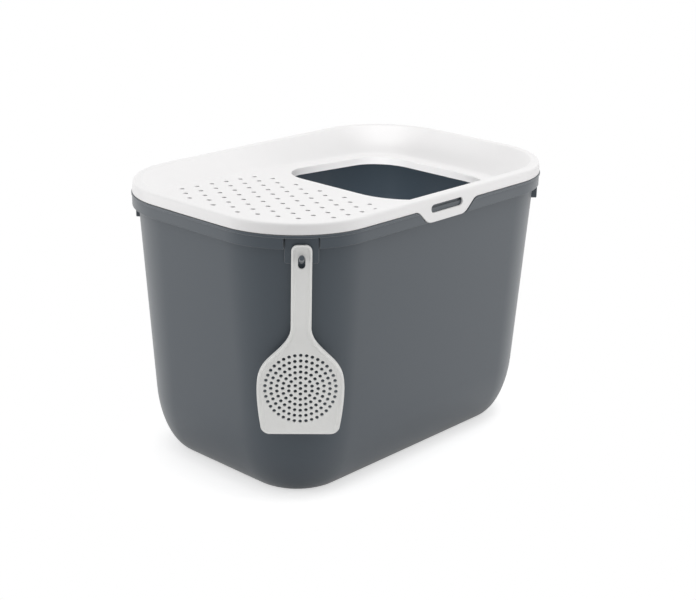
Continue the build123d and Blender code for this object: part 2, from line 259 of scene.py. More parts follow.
@dataclass
class RingMesh:
    """A skin over rings that all stand on the same columns."""

    columns: Sequence[Column]
    rings: list[Points] = field(default_factory=list)

    def add(self, plan: Points, height: float | Points) -> int:
        """Adds a ring.

        Args:
            plan: The ring's x and y on each column.
            height: One z for the ring, or one for each column.

        Returns:
            The ring's number.
        """
        heights = np.broadcast_to(np.asarray(height, float), (len(plan),))
        self.rings.append(np.column_stack([plan, heights]))
        return len(self.rings) - 1

    def follow(self, outline: Outline, height: float | Points) -> int:
        """Adds a ring along an outline and returns the ring's number."""
        return self.add(outline.loop(self.columns), height)

    def sweep(self, outline: Outline, path: Sequence[Pair]) -> None:
        """Adds a ring for each inset and height of a path round an outline."""
        for inset, z in path:
            self.follow(outline.inset(inset), z)

    def carry(self, frame: Matrix) -> None:
        """Moves every ring from a frame's own axes into the litter box's."""
        self.rings = [moved(ring, frame) for ring in self.rings]

    def collapse(self, notch: Notch, first: int, last: int) -> None:
        """Draws the rings between two others down onto the first, on the columns of one cut.

        Args:
            notch: The cut's mark.
            first: The ring that the others are drawn onto.
            last: The first ring that stays.
        """
        for index, column in enumerate(self.columns):
            if column.notch is notch:
                for ring in range(first + 1, last):
                    self.rings[ring][index] = self.rings[first][index]

    def faces(
        self, cuts: dict[Notch, tuple[int, int]], cap_first: bool, cap_last: bool, join_ends: bool
    ) -> list[list[int]]:
        """The skin's faces as vertex numbers.

        Args:
            cuts: For each cut, the rings between which its two end walls stand.
            cap_first: Closes the first ring with one face.
            cap_last: Closes the last ring with one face.
            join_ends: Joins the last ring to the first.

        Returns:
            The faces.
        """
        count = len(self.columns)
        made: list[list[int]] = []
        pairs = [(ring, ring + 1) for ring in range(len(self.rings) - 1)]
        if join_ends:
            pairs.append((len(self.rings) - 1, 0))
        for here in range(count):
            there = (here + 1) % count
            marks = (self.columns[here].notch, self.columns[there].notch)
            cut = next((mark for mark in marks if mark in cuts), None) if marks[0] is not marks[1] else None
            span = cuts.get(cut, (0, 0))
            for low, high in pairs:
                if cut is None or not span[0] <= low < span[1]:
                    corners = ((low, here), (low, there), (high, there), (high, here))
                    made.append([ring * count + column for ring, column in corners])
            if cut is not None:
                plain = here if marks[0] is Notch.PLAIN else there
                wall = [ring * count + plain for ring in range(span[0], span[1] + 1)]
                made.append(wall if plain == here else wall[::-1])
        if cap_first:
            made.append(list(range(count))[::-1])
        if cap_last:
            made.append([(len(self.rings) - 1) * count + index for index in range(count)])
        return made

    def build(
        self,
        name: str,
        cuts: dict[Notch, tuple[int, int]] | None = None,
        cap_first: bool = False,
        cap_last: bool = False,
        join_ends: bool = False,
    ) -> bpy.types.Object:
        """Makes the closed mesh object; the arguments are those of faces()."""
        points = np.concatenate(self.rings)
        return mesh_object(name, points, self.faces(cuts or {}, cap_first, cap_last, join_ends))


# ---- Mesh helpers --------------------------------------------------------------------------------
def mesh_object(name: str, points: Points, faces: Sequence[Sequence[int]]) -> bpy.types.Object:
    """A mesh object in metres, merged and with its faces outwards.

    Args:
        name: The object's name.
        points: The points in millimetres.
        faces: The faces as point numbers.

    Returns:
        The object, linked to the scene.
    """
    mesh = bpy.data.meshes.new(name)
    mesh.from_pydata([tuple(point) for point in np.asarray(points) * MM], [], [list(face) for face in faces])
    tidy_mesh(mesh)
    return linked(name, mesh)


def linked(name: str, data: bpy.types.ID) -> bpy.types.Object:
    """Makes an object.

    Args:
        name: The object's name.
        data: Its mesh, lamp or camera.

    Returns:
        The object, linked to the scene.
    """
    made = bpy.data.objects.new(name, data)
    bpy.context.scene.collection.objects.link(made)
    return made


def tidy_mesh(mesh: bpy.types.Mesh) -> None:
    """Merges doubled points, drops faces with no area and turns every face outwards.

    Args:
        mesh: The mesh, which is changed in place.
    """
    work = bmesh.new()
    work.from_mesh(mesh)
    bmesh.ops.remove_doubles(work, verts=work.verts, dist=MERGE)
    bmesh.ops.dissolve_degenerate(work, edges=work.edges, dist=MERGE / 10)
    bmesh.ops.recalc_face_normals(work, faces=work.faces)
    work.to_mesh(mesh)
    work.free()
    mesh.update()


def smooth(thing: bpy.types.Object, angle: float = SHARP_ANGLE) -> None:
    """Shades a piece smooth.

    Args:
        thing: The piece.
        angle: Edges sharper than this stay crisp, in radians.
    """
    mesh = thing.data
    mesh.polygons.foreach_set("use_smooth", [True] * len(mesh.polygons))
    mesh.set_sharp_from_angle(angle=angle)
    mesh.update()


def merge_into(target: bpy.types.Object, others: Sequence[bpy.types.Object]) -> None:
    """Puts meshes into the target's mesh.

    Args:
        target: The object that stays.
        others: The objects that are removed.
    """
    work = bmesh.new()
    for thing in (target, *others):
        work.from_mesh(thing.data)
    work.to_mesh(target.data)
    work.free()
    for other in others:
        drop(other)
    target.data.update()


def prism(name: str, ends: Sequence[Points]) -> bpy.types.Object:
    """A closed prism between two loops of points."""
    return RingMesh(circle_columns(len(ends[0])), list(ends)).build(name, cap_first=True, cap_last=True)


def prism_along_y(name: str, loop: Sequence[Pair], span: Pair) -> bpy.types.Object:
    """A prism that runs along Y.

    Args:
        name: The object's name.
        loop: Its section's x, from the flap's middle, and z.
        span: The y of its two ends.

    Returns:
        The prism.
    """
    return prism(name, [np.array([(x + RIM.flap_middle, y, z) for x, z in loop]) for y in span])


def drop(thing: bpy.types.Object) -> None:
    """Removes an object and its mesh.

    Args:
        thing: The object.
    """
    mesh = thing.data
    bpy.data.objects.remove(thing)
    bpy.data.meshes.remove(mesh)


def freeze(thing: bpy.types.Object) -> None:
    """Applies an object's modifiers to its mesh and removes them.

    Args:
        thing: The object, which gets a plain mesh of its own name.
    """
    bpy.context.view_layer.update()
    evaluated = thing.evaluated_get(bpy.context.evaluated_depsgraph_get())
    made = bpy.data.meshes.new_from_object(evaluated)
    old = thing.data
    thing.modifiers.clear()
    thing.data = made
    bpy.data.meshes.remove(old)
    made.name = thing.name


def cut_away(thing: bpy.types.Object, cutter: bpy.types.Object) -> None:
    """Cuts one closed mesh out of another.

    Args:
        thing: The object that is cut.
        cutter: The object that is cut out, which is removed.
    """
    modifier = thing.modifiers.new("cut", "BOOLEAN")
    modifier.operation = "DIFFERENCE"
    modifier.solver = "EXACT"
    modifier.object = cutter
    freeze(thing)
    drop(cutter)


# ---- Node trees ----------------------------------------------------------------------------------
class TreeKind(Enum):
    """What a node group works on."""

    GEOMETRY = "GeometryNodeTree"
    SHADER = "ShaderNodeTree"


@dataclass
class TreeBuilder:
    """A node tree under construction, with short calls for its nodes, links and arithmetic."""

    tree: bpy.types.NodeTree

    @classmethod
    def within(cls, owner: bpy.types.Material | bpy.types.World) -> TreeBuilder:
        """Empties the node tree of a material or a world.

        Args:
            owner: The material or the world.

        Returns:
            A builder of its tree.
        """
        owner.use_nodes = True
        owner.node_tree.nodes.clear()
        return cls(owner.node_tree)

    def node(
        self, kind: str, links: dict[object, object] | None = None, **settings: object
    ) -> bpy.types.Node:
        """Adds a node.

        Args:
            kind: The node's type name.
            links: For each input, by name or number, an output socket or a plain value.
            settings: Properties of the node.

        Returns:
            The node.
        """
        made = self.tree.nodes.new(kind)
        for key, value in settings.items():
            setattr(made, key, value)
        for key, value in (links or {}).items():
            target = made.inputs[key]
            if isinstance(value, bpy.types.NodeSocket):
                self.tree.links.new(value, target)
            else:
                target.default_value = value
        return made

    def maths(self, operation: str, first: object, second: object = 0.0) -> bpy.types.NodeSocket:
        """One step of arithmetic."""
        return self.node("ShaderNodeMath", {0: first, 1: second}, operation=operation).outputs[0]

    def mixed(self, share: object, first: bpy.types.Node, second: bpy.types.Node) -> bpy.types.Node:
        """Two shaders mixed, by the second one's share."""
        return self.node("ShaderNodeMixShader", {0: share, 1: first.outputs[0], 2: second.outputs[0]})

    def group(
        self, name: str, make: Callable[[str], bpy.types.NodeTree], **values: object
    ) -> bpy.types.Node:
        """Adds a node of a shared group, which is made on its first use.

        Args:
            name: The group's name.
            make: Makes the group of that name.
            values: The node's inputs, named with underscores for spaces.

        Returns:
            The node.
        """
        shared = bpy.data.node_groups.get(name) or make(name)
        inputs = {key.replace("_", " "): value for key, value in values.items()}
        return self.node("ShaderNodeGroup", inputs, node_tree=shared)


class GroupBuilder(TreeBuilder):
    """A node group under construction, with named inputs and outputs."""

    def __init__(self, name: str, kind: TreeKind) -> None:
        """Makes the empty group with its input and output nodes.

        Args:
            name: The group's name.
            kind: What the group works on.
        """
        super().__init__(bpy.data.node_groups.new(name, kind.value))
        self.entry = self.tree.nodes.new("NodeGroupInput")
        self.exit = self.tree.nodes.new("NodeGroupOutput")

    def socket(self, name: str, kind: str, default: object = None, output: bool = False) -> None:
        """Adds a named input or output of the group.

        Args:
            name: The socket's name.
            kind: What it carries, such as Float.
            default: An input's value while nothing sets it.
            output: Makes an output instead of an input.
        """
        made = self.tree.interface.new_socket(
            name=name, in_out="OUTPUT" if output else "INPUT", socket_type=f"NodeSocket{kind}"
        )
        if default is not None:
            made.default_value = default

    def given(self, name: str) -> bpy.types.NodeSocket:
        """The group's input of that name."""
        return self.entry.outputs[name]

    def finish(self, **results: bpy.types.NodeSocket) -> bpy.types.NodeTree:
        """Links the group's outputs.

        Args:
            results: A socket for each output, by the output's name.

        Returns:
            The group.
        """
        for name, value in results.items():
            self.tree.links.new(value, self.exit.inputs[name])
        return self.tree


class DrillGroup(GroupBuilder):
    """A geometry group that takes a closed mesh, drills a pattern out of it and gives it its material."""

    def __init__(self, name: str, sizes: Sequence[str]) -> None:
        """Makes the group with the sockets that every drilling has.

        Args:
            name: The group's name.
            sizes: Names of further inputs, each a number.
        """
        super().__init__(name, TreeKind.GEOMETRY)
        self.socket("Geometry", "Geometry")
        self.socket("Geometry", "Geometry", output=True)
        self.socket("Material", "Material")
        for size in ("Hole Diameter", "Drill Depth", *sizes):
            self.socket(size, "Float", 0.01)

    def drilled(self, points: bpy.types.NodeSocket, sides: int) -> bpy.types.NodeTree:
        """Finishes the group: a drill on each point, cut out of the given mesh.

        Args:
            points: Geometry whose points are the drills' middles.
            sides: Flat sides of each drill.

        Returns:
            The finished group.
        """
        radius = self.maths("MULTIPLY", self.given("Hole Diameter"), 0.5)
        depth = self.given("Drill Depth")
        drill = self.node("GeometryNodeMeshCylinder", {"Vertices": sides, "Radius": radius, "Depth": depth})
        placed = self.node(
            "GeometryNodeInstanceOnPoints", {"Points": points, "Instance": drill.outputs["Mesh"]}
        )
        drills = self.node("GeometryNodeRealizeInstances", {"Geometry": placed.outputs["Instances"]})
        cut = self.node(
            "GeometryNodeMeshBoolean",
            {"Mesh 1": self.given("Geometry"), "Mesh 2": drills.outputs["Geometry"]},
            operation="DIFFERENCE",
            solver="EXACT",
        )
        whole = self.node("GeometryNodeRealizeInstances", {"Geometry": cut.outputs["Mesh"]})
        dressed = self.node(
            "GeometryNodeSetMaterial",
            {"Geometry": whole.outputs["Geometry"], "Material": self.given("Material")},
        )
        return self.finish(Geometry=dressed.outputs["Geometry"])


def run_tree(thing: bpy.types.Object, tree: bpy.types.NodeTree, values: dict[str, object]) -> None:
    """Runs a geometry group on an object and keeps its plain mesh.

    Args:
        thing: The object that the group changes.
        tree: The geometry group.
        values: The group's inputs by name.
    """
    modifier = thing.modifiers.new(tree.name, "NODES")
    modifier.node_group = tree
    for item in tree.interface.items_tree:
        if item.item_type == "SOCKET" and item.in_out == "INPUT" and item.name in values:
            modifier[item.identifier] = values[item.name]
    freeze(thing)


# ---- Finishes ------------------------------------------------------------------------------------
def linear(red: int, green: int, blue: int) -> Colour:
    """A colour as a shader takes it.

    Args:
        red: Its red on a screen, from 0 to 255.
        green: Its green.
        blue: Its blue.

    Returns:
        The linear colour.
    """

    def channel(value: int) -> float:
        """One channel, by the sRGB curve."""
        share = value / 255
        return share / 12.92 if share <= 0.04045 else ((share + 0.055) / 1.055) ** 2.4

    return channel(red), channel(green), channel(blue), 1.0


def grey(value: float) -> Colour:
    """A linear grey."""
    return value, value, value, 1.0


class ShaderGroup(GroupBuilder):
    """A shader group whose patterns lie on the piece's own coordinates."""

    def __init__(self, name: str) -> None:
        """Makes the empty group with the piece's coordinates."""
        super().__init__(name, TreeKind.SHADER)
        self.place = self.node("ShaderNodeTexCoord").outputs["Object"]

    def noise(self, scale: object, detail: float, roughness: float = 0.5) -> bpy.types.Node:
        """Noise over the piece."""
        values = {"Vector": self.place, "Scale": scale, "Detail": detail, "Roughness": roughness}
        return self.node("ShaderNodeTexNoise", values)


def tone_group(name: str) -> bpy.types.NodeTree:
    """Colour and gloss that drift slowly over a moulding, as flow and cooling leave them.

    Args:
        name: The group's name.

    Returns:
        The group.
    """
    build = ShaderGroup(name)
    build.socket("Colour", "Color", grey(0.8))
    build.socket("Drift", "Float", 0.03)
    build.socket("Roughness", "Float", 0.4)
    build.socket("Colour", "Color", output=True)
    build.socket("Roughness", "Float", output=True)
    flow = build.noise(scale=7.0, detail=3.0, roughness=0.45)
    cloud = build.noise(scale=38.0, detail=4.0, roughness=0.55)
    both = build.maths("ADD", flow.outputs["Fac"], cloud.outputs["Fac"])
    amount = build.maths("MULTIPLY", build.maths("SUBTRACT", both, 1.0), build.given("Drift"))
    factor = build.maths("ADD", amount, 1.0)
    tinted = build.node("ShaderNodeVectorMath", {0: build.given("Colour"), 1: factor}, operation="MULTIPLY")
    gloss = build.maths("ADD", amount, build.given("Roughness"))
    return build.finish(Colour=tinted.outputs[0], Roughness=gloss)


def grain_group(name: str) -> bpy.types.NodeTree:
    """Fine spark-eroded grain of the mould, with a softer waviness under it.

    Args:
        name: The group's name.

    Returns:
        The group.
    """
    build = ShaderGroup(name)
    build.socket("Grain Scale", "Float", 900.0)
    build.socket("Grain", "Float", 0.5)
    build.socket("Wave", "Float", 0.5)
    build.socket("Height", "Float", output=True)
    grain = build.noise(scale=build.given("Grain Scale"), detail=2.0)
    wave = build.noise(scale=14.0, detail=1.0, roughness=0.4)
    fine = build.maths("MULTIPLY", grain.outputs["Fac"], build.given("Grain"))
    broad = build.maths("MULTIPLY", wave.outputs["Fac"], build.given("Wave"))
    return build.finish(Height=build.maths("ADD", fine, broad))


def scuff_group(name: str) -> bpy.types.NodeTree:
    """Hair-fine rub marks from handling, as a mask.

    Args:
        name: The group's name.

    Returns:
        The group.
    """
    bend, stretch, band_low, band_high = 0.12, (30.0, 260.0, 900.0), 0.62, 0.72
    build = ShaderGroup(name)
    build.socket("Amount", "Float", 0.1)
    build.socket("Mask", "Float", output=True)
    bent = build.noise(scale=9.0, detail=2.0)
    spread = build.node(
        "ShaderNodeMix", {0: bend, 4: build.place, 5: bent.outputs["Color"]}, data_type="VECTOR"
    )
    drawn_out = build.node("ShaderNodeMapping", {"Vector": spread.outputs[1], "Scale": stretch})
    lines = build.node("ShaderNodeTexNoise", {"Vector": drawn_out.outputs[0], "Scale": 1.0, "Detail": 1.0})
    band = build.node(
        "ShaderNodeMapRange", {"Value": lines.outputs["Fac"], "From Min": band_low, "From Max": band_high}
    )
    return build.finish(Mask=build.maths("MULTIPLY", band.outputs[0], build.given("Amount")))


@dataclass(frozen=True)
class MouldedFinish:
    """A moulded plastic finish, made once and shared by the pieces that have it."""

    name: str
    colour: tuple[int, int, int]
    roughness: float
    drift: float
    grain_scale: float
    grain: float
    wave: float
    bump_mm: float
    scuffs: float
    subsurface: float = 0.0
    subsurface_mm: float = 1.5
    sheen: float = 0.0
    sheen_roughness: float = 0.5
    ior: float = 1.49

    def material(self) -> bpy.types.Material:
        """The finish as a material, made on the first call and reused after it.

        Returns:
            The material.
        """
        known = bpy.data.materials.get(self.name)
        if known is not None:
            return known
        made = bpy.data.materials.new(self.name)
        build = TreeBuilder.within(made)
        colour = linear(*self.colour)
        tone = build.group(
            "moulding_tone", tone_group, Colour=colour, Drift=self.drift, Roughness=self.roughness
        )
        marks = build.group("handling_marks", scuff_group, Amount=self.scuffs)
        grain = build.group(
            "mould_grain", grain_group, Grain_Scale=self.grain_scale, Grain=self.grain, Wave=self.wave
        )
        bump = build.node(
            "ShaderNodeBump",
            {"Strength": 1.0, "Distance": self.bump_mm * MM, "Height": grain.outputs["Height"]},
        )
        surface = build.node(
            "ShaderNodeBsdfPrincipled",
            {
                "Base Color": tone.outputs["Colour"],
                "Roughness": build.maths("ADD", tone.outputs["Roughness"], marks.outputs["Mask"]),
                "Normal": bump.outputs["Normal"],
                "IOR": self.ior,
                "Sheen Weight": self.sheen,
                "Sheen Roughness": self.sheen_roughness,
                "Subsurface Weight": self.subsurface,
                "Subsurface Radius": (1.0, 1.0, 1.0),
                "Subsurface Scale": self.subsurface_mm * MM,
            },
        )
        build.node("ShaderNodeOutputMaterial", {"Surface": surface.outputs[0]})
        return made


TUB_PLASTIC = MouldedFinish(
    "anthracite_satin", (54, 64, 73), roughness=0.45, drift=0.05, grain_scale=1500.0, grain=0.6, wave=0.5,
    bump_mm=0.05, scuffs=0.05, sheen=0.45,
)
LID_PLASTIC = MouldedFinish(
    "white_satin", (236, 235, 235), roughness=0.42, drift=0.02, grain_scale=1300.0, grain=0.5, wave=0.4,
    bump_mm=0.04, scuffs=0.04,
)
SCOOP_PLASTIC = MouldedFinish(
    "white_gloss", (240, 240, 238), roughness=0.34, drift=0.02, grain_scale=1300.0, grain=0.3, wave=0.4,
    bump_mm=0.03, scuffs=0.04, subsurface=0.08,
)


# ---- Shared sizes --------------------------------------------------------------------------------
@dataclass(frozen=True)
class RimSizes:
    """Sizes that the tub, the lid and the scoop share."""

    height: float = 395.0
    skirt: float = 16.0
    wall: float = 2.5
    bead: float = 1.0
    pad_turn: float = 45.0
    pad_shift: float = 8.5
    pad_recess: float = 4.5
    flap_middle: float = -2.5
    outline: Outline = Outline(583.0, 388.0, 121.0, bow_x=3.2, bow_y=2.0)

    @property
    def shelf(self) -> float:
        """Height of the shelf that the lid's skirt stands on."""
        return self.height - self.skirt

    def pad_frame(self, z: float) -> Matrix:
        """A frame on the scoop's pad: x along its face, y up and z outwards.

        Args:
            z: The frame's height.

        Returns:
            The frame, in millimetres.
        """
        turn = math.radians(self.pad_turn)
        reach = self.outline.radius - self.pad_recess
        x = -(self.outline.length / 2 - self.outline.bow_x - self.outline.radius) - reach * math.cos(turn)
        y = -(self.outline.width / 2 - self.outline.bow_y - self.outline.radius) - reach * math.sin(turn)
        along = Vector((math.sin(turn), -math.cos(turn), 0.0))
        outward = Vector((-math.cos(turn), -math.sin(turn), 0.0))
        frame = Matrix((along, Vector((0.0, 0.0, 1.0)), outward)).transposed().to_4x4()
        frame.translation = Vector((x, y, z)) + along * self.pad_shift
        return frame


RIM = RimSizes()


@dataclass(frozen=True)
class Flap:
    """The shape of a handle flap that hangs from the lid's skirt, and of the cut that takes it."""

    half_top: float = 59.0
    half_bottom: float = 38.5
    drop: float = 19.5
    top_round: float = 18.0
    bottom_round: float = 22.0
    shoulder: float = 20.0
    steps: int = 10

    def path(self, grow: float = 0.0) -> list[Pair]:
        """The flap's edge, as places along the side and how far the edge hangs down there.

        Args:
            grow: How far outside the flap the edge is drawn.

        Returns:
            The edge's points.
        """
        side = grow * math.hypot(self.half_top - self.half_bottom, self.drop) / self.drop
        top, bottom, low = self.half_top + side, self.half_bottom + side, self.drop + grow
        end = top + self.shoulder
        right = [(bottom, low, self.bottom_round), (top, 0.0, self.top_round), (end, 0.0, 0.0)]
        left = [(-place, hang, radius) for place, hang, radius in reversed(right)]
        return rounded_path([*left, *right], self.steps)


FLAP = Flap()


# ---- Tub -----------------------------------------------------------------------------------------
@dataclass
class Tub:
    """The dark tub: wall, floor, rim, four corner pads and the scoop's peg."""

    top: Outline = Outline(572.0, 377.0, 127.0)
    base: Outline = Outline(508.0, 331.0, 95.0)
    round_height: float = 90.0
    round_depth: float = 40.0
    round_steps: int = 16
    wall_levels: tuple[float, ...] = (120.0, 160.0, 200.0, 240.0, 280.0, 320.0, 350.0)
    band_level: float = 370.0               # one more level on the outside, behind the band
    long_places: int = 30
    short_places: int = 16
    corner_places: int = 31
    floor: float = 5.5
    shelf_fillet: Pair = (0.3, 0.8)         # how far the wall's top flares out, and over what height
    fillet_gap: float = 0.2                 # where the flare ends, below the shelf's underside
    band: float = 18.0
    band_rounds: Pair = (0.8, 1.0)          # inside and outside
    bead_height: float = 3.5
    bead_slant: float = 0.6
    bead_rounds: Pair = (0.5, 1.3)          # below and above
    upstand: float = 6.0
    upstand_round: float = 0.8
    recess_half: float = 48.0
    recess_reach: float = 45.0
    recess_depth: float = 3.0
    flap_back: float = 3.5
    flap_gap: float = 1.0
    cutter_above: float = 4.0
    cutter_faces: Pair = (0.0, 12.0)        # outside the place where the rim's cut ends
    seat_above: float = -0.2
    seat_faces: Pair = (-3.5, -0.05)        # the same for the wall behind each flap
    pad_width: float = 43.0
    pad_gap: float = 1.0
    pad_drop: float = 37.5
    pad_corner: float = 3.0
    pad_round: float = 1.3
    pad_run: float = 4.0
    pad_inset: float = 2.9                  # the face's last ring, just inside its corners' middles
    pad_let_in: float = 0.3
    pad_places: int = 10
    pad_corner_places: int = 5
    peg_radius: float = 3.5
    peg_rise: float = 30.0
    peg_root: float = -5.0
    peg_reach: float = 14.0
    peg_round: float = 1.4
    peg_flat: float = 0.6
    peg_z: float = 346.14
    peg_sides: int = 24
    fine_steps: int = 4

    def wall_outline(self, z: float, inset: float = 0.0) -> Outline:
        """The wall's plan at a height, with the rounded bottom edge taken off.

        Args:
            z: The height.
            inset: How far inside the wall's outer face the plan is drawn.

        Returns:
            The plan.
        """
        share = z / RIM.shelf
        below = max(0.0, 1 - z / self.round_height)
        taken = inset + self.round_depth * (1 - math.sqrt(1 - min(1.0, below) ** 2))
        whole = Outline(
            self.base.length + (self.top.length - self.base.length) * share,
            self.base.width + (self.top.width - self.base.width) * share,
            self.base.radius + (self.top.radius - self.base.radius) * share,
        )
        return whole.inset(taken)

    def round_levels(self) -> list[float]:
        """Heights up the rounded bottom edge, close together at its foot."""
        turns = (math.pi / 2 * step / self.round_steps for step in range(self.round_steps + 1))
        return [self.round_height * (1 - math.cos(turn)) for turn in turns]

    def columns(self) -> list[Column]:
        """Columns with doubled places at each edge of the rim's cuts and the base's recesses.

        Returns:
            The columns.
        """
        half_cut = self.pad_width / 2 + self.pad_gap
        edges = (half_cut - RIM.pad_shift, half_cut + RIM.pad_shift)
        before, after = (math.degrees(math.asin(edge / RIM.outline.radius)) for edge in edges)
        pad = (RIM.pad_turn - before, RIM.pad_turn + after)
        straight = self.base.width / 2 - self.base.radius
        recess = (-self.recess_half / straight, self.recess_half / straight)
        return columns_round(
            stops(between(self.long_places)),
            stops(between(self.short_places), recess, Notch.RECESS),
            stops(np.linspace(0, 90, self.corner_places), pad, Notch.PAD),
        )

    def shell(self) -> bpy.types.Object:
        """Wall, floor and rim as one closed skin, from the underside out, over the rim and down inside.

        Returns:
            The skin, before its flap cuts.
        """
        columns = self.columns()
        skin = RingMesh(columns)
        lifted = np.array([self.recess_depth if column.notch is Notch.RECESS else 0.0 for column in columns])
        inner_end = self.wall_outline(0.0, self.recess_reach)
        skin.follow(inner_end, 0.0)
        skin.follow(inner_end, lifted)
        for z in self.round_levels():
            skin.follow(self.wall_outline(z), np.maximum(z, lifted))
        for z in (*self.wall_levels, self.band_level):
            skin.follow(self.wall_outline(z), z)
        underside, shelf = RIM.shelf - RIM.wall, RIM.shelf
        flare, flare_height = self.shelf_fillet
        skin.follow(self.wall_outline(underside - flare_height), underside - flare_height)
        skin.follow(self.wall_outline(underside, -flare), underside - self.fillet_gap)
        skin.follow(RIM.outline.inset(self.flap_back), underside)
        step, foot, top = shelf - self.bead_height, shelf - self.band, shelf + self.upstand
        inside, outside = self.band_rounds
        pad_first = skin.follow(RIM.outline.inset(RIM.wall), step)
        band = [(RIM.wall, step, 0), (RIM.wall, foot, inside), (0.0, foot, outside), (0.0, step, 0)]
        skin.sweep(RIM.outline, rounded_path(band)[1:-1])
        pad_last = skin.follow(RIM.outline, step)
        below, above = self.bead_rounds
        bead = [
            (0.0, step, 0),
            (-RIM.bead, step + self.bead_slant, below),
            (-RIM.bead, shelf, above),
            (self.flap_back, shelf, 0),
        ]
        skin.sweep(RIM.outline, rounded_path(bead)[1:])
        upstand = [
            (0.0, shelf, 0),
            (0.0, top, self.upstand_round),
            (RIM.wall, top, self.upstand_round),
            (RIM.wall, shelf, 0),
        ]
        skin.sweep(self.top, rounded_path(upstand))
        for z in reversed(self.wall_levels):
            skin.follow(self.wall_outline(z, RIM.wall), z)
        for z in reversed(self.round_levels()):
            raised = self.floor + z * (1 - self.floor / self.round_height)
            skin.follow(self.wall_outline(z, RIM.wall), raised)
        skin.collapse(Notch.PAD, pad_first, pad_last)
        return skin.build("tub_shell", {Notch.PAD: (pad_first, pad_last)}, cap_first=True, cap_last=True)

    def flap_prism(self, name: str, above: float, faces: Pair, side: int) -> bpy.types.Object:
        """A block shaped like a flap and the gap round it.

        Args:
            name: The object's name.
            above: Height of its top over the shelf.
            faces: Its two faces, outside the place where the rim's cut ends.
            side: Sign of the side that it stands on.

        Returns:
            The block.
        """
        edge = [(place, RIM.shelf - hang) for place, hang in FLAP.path(self.flap_gap) if hang > 0.0]
        half = FLAP.half_top + self.flap_gap + max(above, 0.0)
        loop = [(-half, RIM.shelf + above), *edge, (half, RIM.shelf + above)]
        inner = RIM.outline.width / 2 - self.flap_back
        return prism_along_y(name, loop, (side * (inner + faces[0]), side * (inner + faces[1])))

    def wall_behind(self, along: float, z: float) -> float:
        """How far the wall's outer face lies behind the pad's face.

        Args:
            along: The place along the pad's face.
            z: The height.

        Returns:
            The distance.
        """
        plan = self.wall_outline(z)
        centre = Vector((-(plan.length / 2 - plan.radius), -(plan.width / 2 - plan.radius), z))
        local = RIM.pad_frame(z).inverted() @ centre
        return -(local.z + math.sqrt(plan.radius**2 - (along - local.x) ** 2))

    def pad(self) -> bpy.types.Object:
        """One corner pad: a flat face with rounded edges, let into the wall behind it.

        Returns:
            The scoop's pad.
        """
        height = self.pad_drop - RIM.wall
        middle = RIM.shelf - self.pad_drop + height / 2
        face = Outline(self.pad_width, height, self.pad_corner)
        side = stops(between(self.pad_places))
        skin = RingMesh(columns_round(side, side, stops(np.linspace(0, 90, self.pad_corner_places))))
        plan = face.loop(skin.columns)
        skin.add(plan, [-self.wall_behind(x, middle + y) - self.pad_let_in for x, y in plan])
        edge = [(0.0, -self.pad_run, 0), (0.0, 0.0, self.pad_round), (self.pad_run, 0.0, 0)]
        for inset, out in rounded_path(edge, self.fine_steps)[1:]:
            skin.follow(face.inset(min(inset, self.pad_inset)), out)
        skin.carry(RIM.pad_frame(middle))
        return skin.build("pad", cap_first=True, cap_last=True)

    def peg(self) -> bpy.types.Object:
        """The peg that the scoop hangs on, tilted upwards with a rounded end.

        Returns:
            The peg.
        """
        skin = RingMesh(circle_columns(self.peg_sides))
        profile = [
            (self.peg_radius, self.peg_root, 0),
            (self.peg_radius, self.peg_reach, self.peg_round),
            (self.peg_flat, self.peg_reach, 0),
        ]
        for radius, out in rounded_path(profile, self.fine_steps):
            skin.follow(Outline(2 * radius, 2 * radius, radius), out)
        skin.carry(RIM.pad_frame(self.peg_z) @ Matrix.Rotation(-math.radians(self.peg_rise), 4, "X"))
        return skin.build("peg", cap_first=True, cap_last=True)

    def build(self) -> bpy.types.Object:
        """The finished tub: its shell with the flap cuts, the flap seats, the four pads and the peg.

        Returns:
            The tub.
        """
        made = self.shell()
        for side in (-1, 1):
            cut_away(made, self.flap_prism("flap_cutter", self.cutter_above, self.cutter_faces, side))
        made.name = "tub_moulding"
        added = [self.flap_prism("flap_seat", self.seat_above, self.seat_faces, side) for side in (-1, 1)]
        added.append(self.pad())
        for flip in ((1, -1, 1), (-1, 1, 1), (-1, -1, 1)):
            mirrored = self.pad()
            mirrored.data.transform(Matrix.Diagonal(flip).to_4x4())
            tidy_mesh(mirrored.data)
            added.append(mirrored)
        merge_into(made, [*added, self.peg()])
        smooth(made)
        made.data.materials.clear()
        made.data.materials.append(TUB_PLASTIC.material())
        return made


